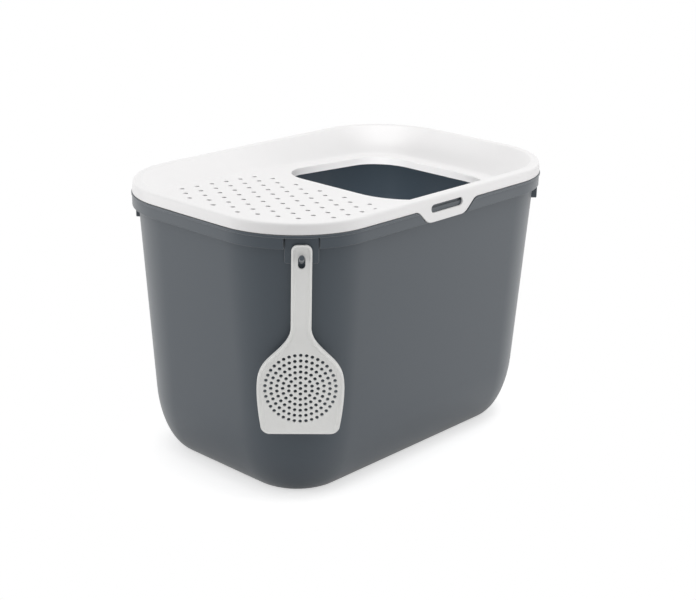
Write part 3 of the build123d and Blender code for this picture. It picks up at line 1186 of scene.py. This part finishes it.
# ---- Lid -----------------------------------------------------------------------------------------
@dataclass
class Lid:
    """The white lid: skirt, border, bowl, perforated tray, entry opening and two handle flaps."""

    draft: float = 1.5
    border: float = 13.5
    border_radius: float = 5.0
    edge_lift: float = 0.9
    skirt_rounds: Triple = (1.5, 0.6, 1.1)  # inside the top, then inside and outside the lower edge
    skirt_ends: Pair = (3.0, 2.5)           # flat runs before the bowl, on the lower and the upper face
    skirt_steps: int = 5
    tied_height: float = 4.0                # what lies lower over the shelf hangs down with the flaps
    slope: float = 0.05
    tray_drop: float = 16.3
    tray_start: float = 30.0
    tray_radius: float = 92.0
    skin: float = 3.0
    bowl_path: tuple[Triple, ...] = (       # shares of the way to the tray, and of the height over it
        (-0.12, 1.0, 0.0), (0.0, 1.0, 0.07), (0.72, 0.0, 0.5), (1.0, 0.0, 0.0),
    )
    bowl_steps: int = 9
    bowl_spread: float = 3.0                # depth of a face for each millimetre that its foot lies out
    border_run: float = 40.0                # millimetres of border in one share of the way
    opening: Outline = Outline(231.0, 250.0, 80.0, centre_x=105.0)
    opening_far_radius: float = 56.0
    flat_margin: float = 5.0
    lip: float = 11.0
    lip_rounds: Triple = (2.2, 0.8, 1.0)    # the edge above, the two below, and the root
    lip_ends: Pair = (1.0, 2.0)             # flat runs beyond the edge above and beyond the root
    lip_steps: int = 4
    slot_length: float = 66.0
    slot_height: float = 11.4
    slot_below: float = 0.5
    slot_turns: int = 13
    slot_reach: float = 9.0
    hole: float = 7.0
    hole_sides: int = 20
    drill_depth: float = 60.0
    drill_below: float = 25.0
    pitch: float = 27.5
    row_pitch: float = 23.6
    edge_margin: float = 8.0
    end_margin: float = 30.0
    opening_margin: float = 36.3
    field_near_radius: float = 92.0
    field_far_radius: float = 50.0
    long_places: int = 34
    flap_places: int = 74
    flap_clearance: float = 0.01
    short_places: int = 20
    corner_places: int = 33

    @property
    def tray_end(self) -> float:
        """The tray's -X end, under the border."""
        return -RIM.outline.length / 2 + self.tray_start

    def plane(self, x: Points | float) -> Points | float:
        """Height of the tray's floor at a place along X."""
        return RIM.height - self.tray_drop - self.slope * (x - self.tray_end)

    def columns(self) -> list[Column]:
        """Columns that are close together over the flaps.

        Returns:
            The columns.
        """
        run = RIM.outline.length / 2 - RIM.outline.bow_x - RIM.outline.radius
        reach = FLAP.half_top + FLAP.shoulder
        flap = np.linspace((RIM.flap_middle - reach) / run, (RIM.flap_middle + reach) / run, self.flap_places)
        low, high = flap[0] - self.flap_clearance, flap[-1] + self.flap_clearance
        outer = [value for value in between(self.long_places) if not low < value < high]
        corner = stops(np.linspace(0, 90, self.corner_places))
        return columns_round(stops(sorted([*outer, *flap])), stops(between(self.short_places)), corner)

    def flap_edge(self, columns: Sequence[Column]) -> Points:
        """How far the skirt's lower edge hangs down.

        Args:
            columns: The lid's columns.

        Returns:
            The drop on each column.
        """
        places, drops = zip(*FLAP.path())
        plan = RIM.outline.loop(columns)
        on_side = np.array([column.turn in (90.0, 270.0) for column in columns])
        return np.where(on_side, np.interp(plan[:, 0] - RIM.flap_middle, places, drops), 0.0)

    def opening_radius(self, column: Column) -> float:
        """The opening's corner radius on a column: wide on the scoop's side, tighter on the other."""
        return self.opening.radius if column.along_y < 0 else self.opening_far_radius

    def opening_outline(self, columns: Sequence[Column], inset: float) -> Points:
        """Plan of the opening's edge, drawn inside itself."""
        corners = (replace(self.opening, radius=self.opening_radius(column)) for column in columns)
        return np.array([corner.inset(inset).place(column) for corner, column in zip(corners, columns)])

    def tray_outline(self, columns: Sequence[Column], grow: float) -> Points:
        """Plan of the edge where the bowl meets the tray: tight at +X, wide at the -X corners.

        Args:
            columns: The lid's columns.
            grow: How far outside the edge the plan is drawn.

        Returns:
            The plan's points.
        """
        margin, wide = self.flat_margin + grow, self.tray_radius + grow
        near, far = self.tray_end - grow, self.opening.centre_x + self.opening.length / 2 + margin
        whole = Outline(far - near, self.opening.width + 2 * margin, wide, centre_x=(far + near) / 2)
        radii = (wide if column.along_x < 0 else self.opening_radius(column) + margin for column in columns)
        corners = (replace(whole, radius=radius) for radius in radii)
        return np.array([corner.place(column) for corner, column in zip(corners, columns)])

    def bowl(self, skin: RingMesh, inset: float, top: float, under: float, outward: bool) -> None:
        """Rings between the border and the tray.

        Args:
            skin: The mesh that takes the rings.
            inset: The border's edge, inside the skirt.
            top: The border's height.
            under: How far this face lies below the tray's floor.
            outward: Runs from the tray to the border instead of from the border to the tray.
        """
        edge = RIM.outline.inset(inset).loop(skin.columns)
        foot = self.tray_outline(skin.columns, under / self.bowl_spread)
        path = rounded_path(self.bowl_path, self.bowl_steps)[1:]
        for share, height in reversed(path) if outward else path:
            plan = edge + (foot - edge) * share
            if share < 0:
                plan = RIM.outline.inset(inset + self.border_run * share).loop(skin.columns)
            low = self.plane(plan[:, 0]) - under
            skin.add(plan, low + (top - low) * height)

    def shell(self) -> bpy.types.Object:
        """The lid's closed skin, before its slots and perforations.

        Returns:
            The skin, which bears the lid's name.
        """
        columns = self.columns()
        skin = RingMesh(columns)
        hang = self.flap_edge(columns)
        ceiling = RIM.height - RIM.wall
        inner_top = RIM.wall + self.draft * (1 - RIM.wall / RIM.skirt)
        under_top, inner_edge, outer_edge = self.skirt_rounds
        skirt = [
            (inner_top + self.skirt_ends[0], ceiling, 0),
            (inner_top, ceiling, under_top),
            (RIM.wall, RIM.shelf, inner_edge),
            (0.0, RIM.shelf + self.edge_lift, outer_edge),
            (self.draft, RIM.height, self.border_radius),
            (self.border - self.skirt_ends[1], RIM.height, 0),
        ]
        for inset, z in rounded_path(skirt, self.skirt_steps):
            skin.follow(RIM.outline.inset(inset), z - hang * (z < RIM.shelf + self.tied_height))
        self.bowl(skin, self.border, RIM.height, 0.0, outward=False)
        upper, lower, root = self.lip_rounds
        lip = [
            (-upper - self.lip_ends[0], 0.0, 0),
            (0.0, 0.0, upper),
            (0.0, -self.lip, lower),
            (-RIM.wall, -self.lip, lower),
            (-RIM.wall, -self.skin, root),
            (-RIM.wall - self.lip_ends[1], -self.skin, 0),
        ]
        for inset, rise in rounded_path(lip, self.lip_steps):
            plan = self.opening_outline(columns, inset)
            skin.add(plan, self.plane(plan[:, 0]) + rise)
        self.bowl(skin, self.border - RIM.wall, ceiling, self.skin, outward=True)
        return skin.build("lid_moulding", join_ends=True)

    def slot_cutter(self, side: int) -> bpy.types.Object:
        """A short bar with round ends that cuts a finger slot.

        Args:
            side: Sign of the side that the slot is on.

        Returns:
            The cutter.
        """
        radius = self.slot_height / 2
        turns = np.linspace(-math.pi / 2, math.pi / 2, self.slot_turns)
        right = arc((self.slot_length / 2 - radius, 0.0), radius, turns)
        middle = RIM.shelf - self.slot_below
        loop = [(x, middle + z) for x, z in right] + [(-x, middle - z) for x, z in right]
        inner, outer = (RIM.outline.width / 2 + reach for reach in (-self.slot_reach, self.slot_reach))
        return prism_along_y("slot_cutter", loop, (side * inner, side * outer))

    def perforation_tree(self) -> bpy.types.NodeTree:
        """The tray's staggered holes: a grid with shifted odd rows, kept inside a rounded field.

        Returns:
            The geometry group.
        """
        sizes = (
            "Drill Height", "Pitch", "Row Pitch", "High X", "Low X",
            "Half Width", "Near Radius", "Far Radius",
        )
        build = DrillGroup("tray_perforations", sizes)
        build.socket("Columns", "Int", 9)
        build.socket("Rows", "Int", 11)
        height, pitch, row_pitch, high_x, low_x, half_width, near, far = (build.given(size) for size in sizes)
        columns, rows, maths = build.given("Columns"), build.given("Rows"), build.maths
        span_x = maths("MULTIPLY", maths("SUBTRACT", columns, 1.0), pitch)
        span_y = maths("MULTIPLY", maths("SUBTRACT", rows, 1.0), row_pitch)
        grid = build.node(
            "GeometryNodeMeshGrid",
            {"Size X": span_x, "Size Y": span_y, "Vertices X": columns, "Vertices Y": rows},
        )
        position = build.node("GeometryNodeInputPosition")
        place = build.node("ShaderNodeSeparateXYZ", {0: position.outputs[0]})
        x, y = place.outputs["X"], place.outputs["Y"]
        odd = maths("ABSOLUTE", maths("MODULO", maths("ROUND", maths("DIVIDE", y, row_pitch)), 2.0))
        shift = maths("MULTIPLY", odd, maths("MULTIPLY", pitch, -0.5))
        centre = maths("SUBTRACT", high_x, maths("MULTIPLY", span_x, 0.5))
        offset = build.node("ShaderNodeCombineXYZ", {"X": maths("ADD", shift, centre), "Z": height})
        lattice = build.node(
            "GeometryNodeSetPosition", {"Geometry": grid.outputs["Mesh"], "Offset": offset.outputs[0]}
        )
        far_side = maths("GREATER_THAN", y, 0.0)
        radius = maths("ADD", near, maths("MULTIPLY", far_side, maths("SUBTRACT", far, near)))
        past_x = maths("SUBTRACT", maths("ADD", low_x, radius), x)
        past_y = maths("ADD", maths("SUBTRACT", maths("ABSOLUTE", y), half_width), radius)
        past = {"X": maths("MAXIMUM", past_x, 0.0), "Y": maths("MAXIMUM", past_y, 0.0)}
        corner = build.node("ShaderNodeCombineXYZ", past)
        reach = build.node("ShaderNodeVectorMath", {0: corner.outputs[0]}, operation="LENGTH")
        outside = build.node(
            "FunctionNodeCompare", {0: reach.outputs["Value"], 1: radius}, operation="GREATER_THAN"
        )
        kept = build.node(
            "GeometryNodeDeleteGeometry",
            {"Geometry": lattice.outputs["Geometry"], "Selection": outside.outputs[0]},
            domain="POINT",
        )
        return build.drilled(kept.outputs["Geometry"], self.hole_sides)

    def build(self) -> bpy.types.Object:
        """The finished lid, with its slots cut and its tray perforated.

        Returns:
            The lid.
        """
        made = self.shell()
        for side in (-1, 1):
            cut_away(made, self.slot_cutter(side))
        low = self.tray_end + self.end_margin
        high = self.opening.centre_x - self.opening.length / 2 - self.opening_margin
        half = self.opening.width / 2 + self.flat_margin - self.edge_margin
        run_tree(
            made,
            self.perforation_tree(),
            {
                "Material": LID_PLASTIC.material(),
                "Hole Diameter": self.hole * MM,
                "Drill Depth": self.drill_depth * MM,
                "Drill Height": (RIM.height - self.drill_below) * MM,
                "Pitch": self.pitch * MM,
                "Row Pitch": self.row_pitch * MM,
                "High X": high * MM,
                "Low X": low * MM,
                "Half Width": half * MM,
                "Near Radius": self.field_near_radius * MM,
                "Far Radius": self.field_far_radius * MM,
                "Columns": math.ceil((high - low) / self.pitch) + 1,
                "Rows": 2 * int(half / self.row_pitch) + 1,
            },
        )
        smooth(made)
        return made


# ---- Scoop ---------------------------------------------------------------------------------------
@dataclass
class Scoop:
    """The white scoop: a channel handle, a smooth neck and a dished blade with rings of holes."""

    length: float = 258.0
    top_gap: float = 12.0
    depth: float = 6.0
    dish: float = 6.0
    fit: float = 0.3
    top_round: float = 8.0
    lip_round: float = 12.0
    corner_turns: int = 9
    blade_middle: float = 63.5
    knots: tuple[Pair, ...] = (             # heights above the lip, and half widths there
        (0.0, 49.9), (66.0, 56.0), (100.0, 46.3), (124.0, 23.3), (150.0, 13.0),
    )
    handle_start: float = 178.0
    blade_places: int = 72                  # from the lip to the handle's plain part
    handle_places: int = 14
    neck: Pair = (122.0, 30.0)              # where the back starts to rise, and over what length
    lip_rise: Pair = (1.0, 30.0)            # where the edge starts to rise, and over what length
    lip_edge: float = 0.7
    back_run: Pair = (9.0, 6.0)             # how far the back's edge runs in, and up the side
    back_round: float = 5.0
    back_steps: int = 6
    edge_least: float = 0.8                 # least height of the side, along the lip
    edge_top: float = 2.4
    edge_foot: float = 3.6
    edge_drops: Pair = (2.0, 2.5)           # outside and inside
    edge_rounds: Pair = (1.1, 1.0)          # outside and inside
    edge_steps: int = 4
    foot_steps: int = 4
    hole: float = 4.8
    hole_sides: int = 14
    drill_depth: float = 8.0
    ring_pitch: float = 7.6
    rings: tuple[int, ...] = (6, 14, 20, 26, 32, 38)
    slot_width: float = 9.2
    slot_height: float = 16.6
    slot_from_top: float = 14.9
    slot_turns: int = 13
    slot_reach: float = 20.0
    across: int = 12

    def half_width(self, y: Points) -> Points:
        """Half of the scoop's width, as one smooth curve through the knots.

        Args:
            y: Heights above the lip.

        Returns:
            The half width at each height.
        """
        places, widths = (np.array(values) for values in zip(*self.knots))
        runs = np.diff(places)
        rates = np.diff(widths) / runs
        system = np.eye(len(places))
        slopes = np.zeros(len(places))
        slopes[0] = rates[0]
        for k in range(1, len(places) - 1):
            system[k, k - 1:k + 2] = runs[k], 2 * (runs[k - 1] + runs[k]), runs[k - 1]
            slopes[k] = 3 * (runs[k] * rates[k - 1] + runs[k - 1] * rates[k])
        slopes = np.linalg.solve(system, slopes)
        y = np.minimum(y, places[-1])
        index = np.clip(np.searchsorted(places, y, side="right") - 1, 0, len(runs) - 1)
        t = (y - places[index]) / runs[index]
        rise, fall = slopes[index] * runs[index], slopes[index + 1] * runs[index]
        return (
            widths[index] * (2 * t**3 - 3 * t**2 + 1) + rise * (t**3 - 2 * t**2 + t)
            + widths[index + 1] * (3 * t**2 - 2 * t**3) + fall * (t**3 - t**2)
        )

    def right_side(self) -> Points:
        """The right edge from the end of the lip's straight to the end of the top's straight.

        Returns:
            The edge's points.
        """
        quarter = np.linspace(0, math.pi / 2, self.corner_turns)
        lip_x = float(self.half_width(np.array([self.lip_round]))[0]) - self.lip_round
        lip = arc((lip_x, self.lip_round), self.lip_round, quarter - math.pi / 2)
        shoulder = self.length - self.top_round
        blade = np.linspace(self.lip_round, self.handle_start, self.blade_places)[1:]
        handle = np.linspace(self.handle_start, shoulder, self.handle_places)[1:]
        heights = np.concatenate([blade, handle])
        side = list(zip(self.half_width(heights), heights))
        top = arc((side[-1][0] - self.top_round, shoulder), self.top_round, quarter[1:])
        return np.array(lip + side + top)

    def loop(self, inset: float) -> Points:
        """The whole edge, anticlockwise from the lip's right end.

        Args:
            inset: How far inside itself the edge is drawn.

        Returns:
            The edge's points.
        """
        right = self.right_side()
        ahead = np.gradient(right, axis=0)
        ahead[0], ahead[-1] = (1.0, 0.0), (-1.0, 0.0)
        normal = np.column_stack([-ahead[:, 1], ahead[:, 0]])
        normal /= np.linalg.norm(normal, axis=1)[:, None]
        right = right + normal * inset
        shares = np.linspace(0, 1, self.across + 1)[1:-1][:, None]
        mirror = np.array([-1.0, 1.0])
        top = right[-1] * (1 - shares) + right[-1] * mirror * shares
        bottom = right[0] * mirror * (1 - shares) + right[0] * shares
        return np.concatenate([right, top, right[::-1] * mirror, bottom])

    def floor_back(self, y: Points) -> Points:
        """Where the scoop's back lies: set back in the blade, rising through the neck to the handle."""
        start, length = self.neck
        return -self.dish * (1 - ease(np.clip((y - start) / length, 0, 1)))

    def rim_front(self, y: Points) -> Points:
        """Where the raised edge's front lies: full height on the sides, low along the lip.

        Args:
            y: Heights above the lip.

        Returns:
            The place along the outward axis at each height.
        """
        start, length = self.lip_rise
        low = self.floor_back(y) + RIM.wall + self.lip_edge
        return low + (self.depth - low) * ease(np.clip((y - start) / length, 0, 1))

    def edge_rings(self) -> list[Points]:
        """The rings of the scoop's edge, from its back over the raised edge and down to the floor.

        Returns:
            The rings.
        """
        front = self.rim_front(self.loop(0.0)[:, 1])
        inner_run, outer_rise = self.back_run
        outer_drop, inner_drop = self.edge_drops
        outer_round, inner_round = self.edge_rounds
        back_path = [(inner_run, 0.0, 0), (0.0, 0.0, self.back_round), (0.0, outer_rise, 0)]
        edge_path = [
            (0.0, -outer_drop, 0),
            (0.0, 0.0, outer_round),
            (self.edge_top, 0.0, inner_round),
            (self.edge_foot, -inner_drop, 0),
        ]
        rings: list[Points] = []
        for inset, rise in rounded_path(back_path, self.back_steps)[1:-1]:
            plan = self.loop(inset)
            back = self.floor_back(plan[:, 1])
            rings.append(np.column_stack([plan, np.minimum(back + rise, front - self.edge_least)]))
        for inset, rise in rounded_path(edge_path, self.edge_steps)[1:]:
            plan = self.loop(inset)
            floor = self.floor_back(plan[:, 1]) + RIM.wall
            rings.append(np.column_stack([plan, np.maximum(front + rise, floor)]))
        inner = rings[-1][:, 2]
        for step in range(1, self.foot_steps + 1):
            share = step / self.foot_steps
            plan = self.loop(self.edge_foot + self.edge_foot * share)
            floor = self.floor_back(plan[:, 1]) + RIM.wall
            rings.append(np.column_stack([plan, floor + (inner - floor) * (1 - share) ** 2]))
        return rings

    def shell(self) -> bpy.types.Object:
        """The scoop's closed skin in its own axes, before its holes.

        Returns:
            The skin, which bears the scoop's name.
        """
        rings = self.edge_rings()
        count = len(rings[0])
        last = (len(rings) - 1) * count
        points = [*np.concatenate(rings)]
        faces = [
            [low + here, low + (here + 1) % count, low + count + (here + 1) % count, low + count + here]
            for low in range(0, last, count)
            for here in range(count)
        ]
        self.fill(points, faces, 0, 0.0)
        self.fill(points, faces, last, RIM.wall)
        return mesh_object("scoop_moulding", np.array(points), faces)

    def fill(self, points: list[Points], faces: list[list[int]], first: int, rise: float) -> None:
        """Fills a ring with rows that run from its left side to its right.

        Args:
            points: All the points, which the fill adds to.
            faces: All the faces, which the fill adds to.
            first: The ring's first point.
            rise: How far the filled face lies in front of the scoop's back.
        """
        side = len(self.right_side())
        grid: list[list[int]] = []
        for row in range(side):
            left, right = first + 2 * side + self.across - 2 - row, first + row
            if row == 0:
                middle = [first + 2 * side + self.across - 1 + k for k in range(self.across - 1)]
            elif row == side - 1:
                middle = [first + side + self.across - 2 - k for k in range(self.across - 1)]
            else:
                middle = []
                for k in range(1, self.across):
                    x, y, _ = points[left] + (points[right] - points[left]) * (k / self.across)
                    middle.append(len(points))
                    points.append(np.array([x, y, float(self.floor_back(np.array([y]))[0]) + rise]))
            grid.append([left, *middle, right])
        for low, high in zip(grid, grid[1:]):
            faces += [[low[k], low[k + 1], high[k + 1], high[k]] for k in range(self.across)]

    def sieve_tree(self) -> bpy.types.NodeTree:
        """Rings of holes round one in the middle.

        Returns:
            The geometry group.
        """
        build = DrillGroup("blade_sieve", ("Ring Pitch",))
        build.socket("Centre", "Vector", (0.0, 0.0, 0.0))
        patterns = [build.node("GeometryNodeMeshLine", {"Count": 1})]
        for number, count in enumerate(self.rings, start=1):
            radius = build.maths("MULTIPLY", build.given("Ring Pitch"), float(number))
            patterns.append(build.node("GeometryNodeMeshCircle", {"Vertices": count, "Radius": radius}))
        joined = build.node("GeometryNodeJoinGeometry")
        for pattern in patterns:
            build.tree.links.new(pattern.outputs[0], joined.inputs[0])
        placed = build.node(
            "GeometryNodeTransform",
            {
                "Geometry": joined.outputs[0],
                "Translation": build.given("Centre"),
                "Rotation": (0.0, 0.0, math.pi / 2),
            },
        )
        return build.drilled(placed.outputs[0], self.hole_sides)

    def hanging_hole(self) -> bpy.types.Object:
        """The cutter of the long hole that takes the peg.

        Returns:
            The cutter, in the scoop's own axes.
        """
        radius = self.slot_width / 2
        upper = arc((0.0, self.slot_height / 2 - radius), radius, np.linspace(0, math.pi, self.slot_turns))
        loop = upper + [(-x, -y) for x, y in upper]
        middle = self.length - self.slot_from_top - self.slot_height / 2
        outs = (-self.slot_reach, self.slot_reach)
        return prism("hanging_hole", [np.array([(x, y + middle, out) for x, y in loop]) for out in outs])

    def build(self) -> bpy.types.Object:
        """The finished scoop, hanging in front of its pad.

        Returns:
            The scoop.
        """
        made = self.shell()
        cut_away(made, self.hanging_hole())
        run_tree(
            made,
            self.sieve_tree(),
            {
                "Material": SCOOP_PLASTIC.material(),
                "Hole Diameter": self.hole * MM,
                "Drill Depth": self.drill_depth * MM,
                "Ring Pitch": self.ring_pitch * MM,
                "Centre": (0.0, self.blade_middle * MM, -self.dish * MM),
            },
        )
        frame = RIM.pad_frame(RIM.shelf - self.top_gap - self.length)
        frame = frame @ Matrix.Translation((0.0, 0.0, self.fit))
        frame.translation *= MM
        made.data.transform(frame)
        smooth(made, SCOOP_SHARP_ANGLE)
        return made


# ---- Studio --------------------------------------------------------------------------------------
@dataclass(frozen=True)
class SoftBox:
    """One rectangular studio lamp that looks at a point, with its sizes in metres."""

    name: str
    place: Triple
    size: Pair
    watts: float
    target: Triple = (0.0, 0.0, 0.2)
    hidden: bool = False
    spread: float = 180.0

    def build(self) -> bpy.types.Object:
        """Makes the lamp.

        Returns:
            The lamp.
        """
        data = bpy.data.lights.new(self.name, "AREA")
        data.shape = "RECTANGLE"
        data.size, data.size_y = self.size
        data.energy = self.watts
        data.spread = math.radians(self.spread)
        lamp = linked(self.name, data)
        lamp.location = self.place
        aim = Vector(self.target) - Vector(self.place)
        lamp.rotation_euler = aim.to_track_quat("-Z", "Y").to_euler()
        lamp.visible_camera = not self.hidden
        lamp.visible_glossy = not self.hidden
        return lamp


@dataclass
class Studio:
    """Camera, lamps, a white world and a white floor that keeps the object's shadow, in metres."""

    azimuth: float = -47.11
    elevation: float = 19.09
    roll: float = 1.09
    distance: float = 2.1118
    target_z: float = 0.2
    lens: float = 74.79
    sensor: float = 36.0
    shift: Pair = (0.01066, -0.00468)
    clip_end: float = 50.0
    world_light: float = 0.62
    floor_radius: float = 9.0
    floor_sides: int = 64
    floor_paint: float = 0.8
    floor_bounce: float = 0.8
    floor_glow: float = 0.56
    shadow_reach: Pair = (0.18, 0.27)
    shadow_squeeze: float = 0.66
    lamps: tuple[SoftBox, ...] = (
        SoftBox("top_box", (0.1, -0.2, 2.2), size=(1.8, 1.4), watts=18.0),
        SoftBox("left_box", (-1.6, 1.45, 0.33), size=(1.2, 0.6), watts=10.5),
        SoftBox("right_box", (1.5, -1.7, 0.33), size=(1.2, 0.6), watts=8.5),
        SoftBox(
            "inner_fill", (-0.02, -0.09, 0.2), size=(0.2, 0.1), watts=0.7,
            target=(0.25, 0.13, 0.17), hidden=True, spread=120.0,
        ),
    )

    def camera(self) -> None:
        """Places the camera at its angle and makes it the scene's."""
        turn, rise, roll = (math.radians(value) for value in (self.azimuth, self.elevation, self.roll))
        back = Vector((math.sin(turn) * math.cos(rise), -math.cos(turn) * math.cos(rise), math.sin(rise)))
        right = Vector((math.cos(turn), math.sin(turn), 0.0))
        up = back.cross(right)
        tilted_right = right * math.cos(roll) + up * math.sin(roll)
        tilted_up = up * math.cos(roll) - right * math.sin(roll)
        data = bpy.data.cameras.new("camera")
        data.lens = self.lens
        data.sensor_width = self.sensor
        data.sensor_fit = "HORIZONTAL"
        data.shift_x, data.shift_y = self.shift
        data.clip_end = self.clip_end
        made = linked("camera", data)
        frame = Matrix((tilted_right, tilted_up, back)).transposed().to_4x4()
        frame.translation = Vector((0.0, 0.0, self.target_z)) + back * self.distance
        made.matrix_world = frame
        bpy.context.scene.camera = made

    @staticmethod
    def seen(build: TreeBuilder) -> bpy.types.NodeSocket:
        """1 for a ray from the camera or from a reflection, else 0."""
        path = build.node("ShaderNodeLightPath")
        return build.maths("MAXIMUM", path.outputs["Is Camera Ray"], path.outputs["Is Glossy Ray"])

    def world(self) -> None:
        """A white world to the camera that lights the object more gently."""
        world = bpy.data.worlds.new("studio_world")
        bpy.context.scene.world = world
        build = TreeBuilder.within(world)
        light = build.node("ShaderNodeBackground", {"Color": grey(1.0), "Strength": self.world_light})
        shown = build.node("ShaderNodeBackground", {"Color": grey(1.0), "Strength": 1.0})
        both = build.mixed(self.seen(build), light, shown)
        build.node("ShaderNodeOutputWorld", {"Surface": both.outputs[0]})

    def floor_finish(self) -> bpy.types.Material:
        """White to the camera except in the object's shadow, and plain paint to all other light.

        Returns:
            The floor's material.
        """
        material = bpy.data.materials.new("studio_floor")
        build = TreeBuilder.within(material)
        paint = build.node("ShaderNodeBsdfDiffuse", {"Color": grey(self.floor_paint)})
        camera = build.node("ShaderNodeLightPath").outputs["Is Camera Ray"]
        strength = build.maths("MULTIPLY", camera, self.floor_glow)
        glow = build.node("ShaderNodeEmission", {"Strength": strength})
        near = build.node("ShaderNodeAddShader", {0: paint.outputs[0], 1: glow.outputs[0]})
        far = build.node("ShaderNodeEmission", {"Strength": 1.0})
        place = build.node("ShaderNodeTexCoord").outputs["Object"]
        squeeze = build.node(
            "ShaderNodeVectorMath", {0: place, 1: (self.shadow_squeeze, 1.0, 1.0)}, operation="MULTIPLY"
        )
        reach = build.node("ShaderNodeVectorMath", {0: squeeze.outputs[0]}, operation="LENGTH")
        start, end = self.shadow_reach
        fade = build.node(
            "ShaderNodeMapRange",
            {"Value": reach.outputs["Value"], "From Min": start, "From Max": end},
            interpolation_type="SMOOTHSTEP",
        )
        lit = build.mixed(fade.outputs[0], near, far)
        plain = build.node("ShaderNodeBsdfDiffuse", {"Color": grey(self.floor_bounce)})
        shown = build.mixed(self.seen(build), plain, lit)
        build.node("ShaderNodeOutputMaterial", {"Surface": shown.outputs[0]})
        return material

    def floor(self) -> bpy.types.Object:
        """A wide floor that is white to the camera and darkens only in shadow.

        Returns:
            The floor.
        """
        disc = Outline(2 * self.floor_radius, 2 * self.floor_radius, self.floor_radius)
        edge = disc.loop(circle_columns(self.floor_sides))
        mesh = bpy.data.meshes.new("floor")
        mesh.from_pydata([(x, y, 0.0) for x, y in edge], [], [list(range(len(edge)))])
        mesh.materials.append(self.floor_finish())
        made = linked("floor", mesh)
        return made

    def build(self) -> None:
        """Sets up the whole studio."""
        bpy.context.scene.view_settings.view_transform = "Standard"
        self.camera()
        self.world()
        self.floor()
        for lamp in self.lamps:
            lamp.build()


# ---- Whole scene ---------------------------------------------------------------------------------
def main() -> None:
    """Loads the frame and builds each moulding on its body."""
    logging.basicConfig(level=logging.INFO, format="%(message)s")
    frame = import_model()
    Studio().build()
    makers = (
        ("tub", "tub_plastic", Tub()),
        ("lid", "lid_plastic", Lid()),
        ("scoop", "scoop_plastic", Scoop()),
    )
    for node, slot, maker in makers:
        piece = maker.build()
        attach(piece, node)
        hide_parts(node)
        LOG.info("%s: %d faces", piece.name, len(piece.data.polygons))


if __name__ == "__main__":
    main()
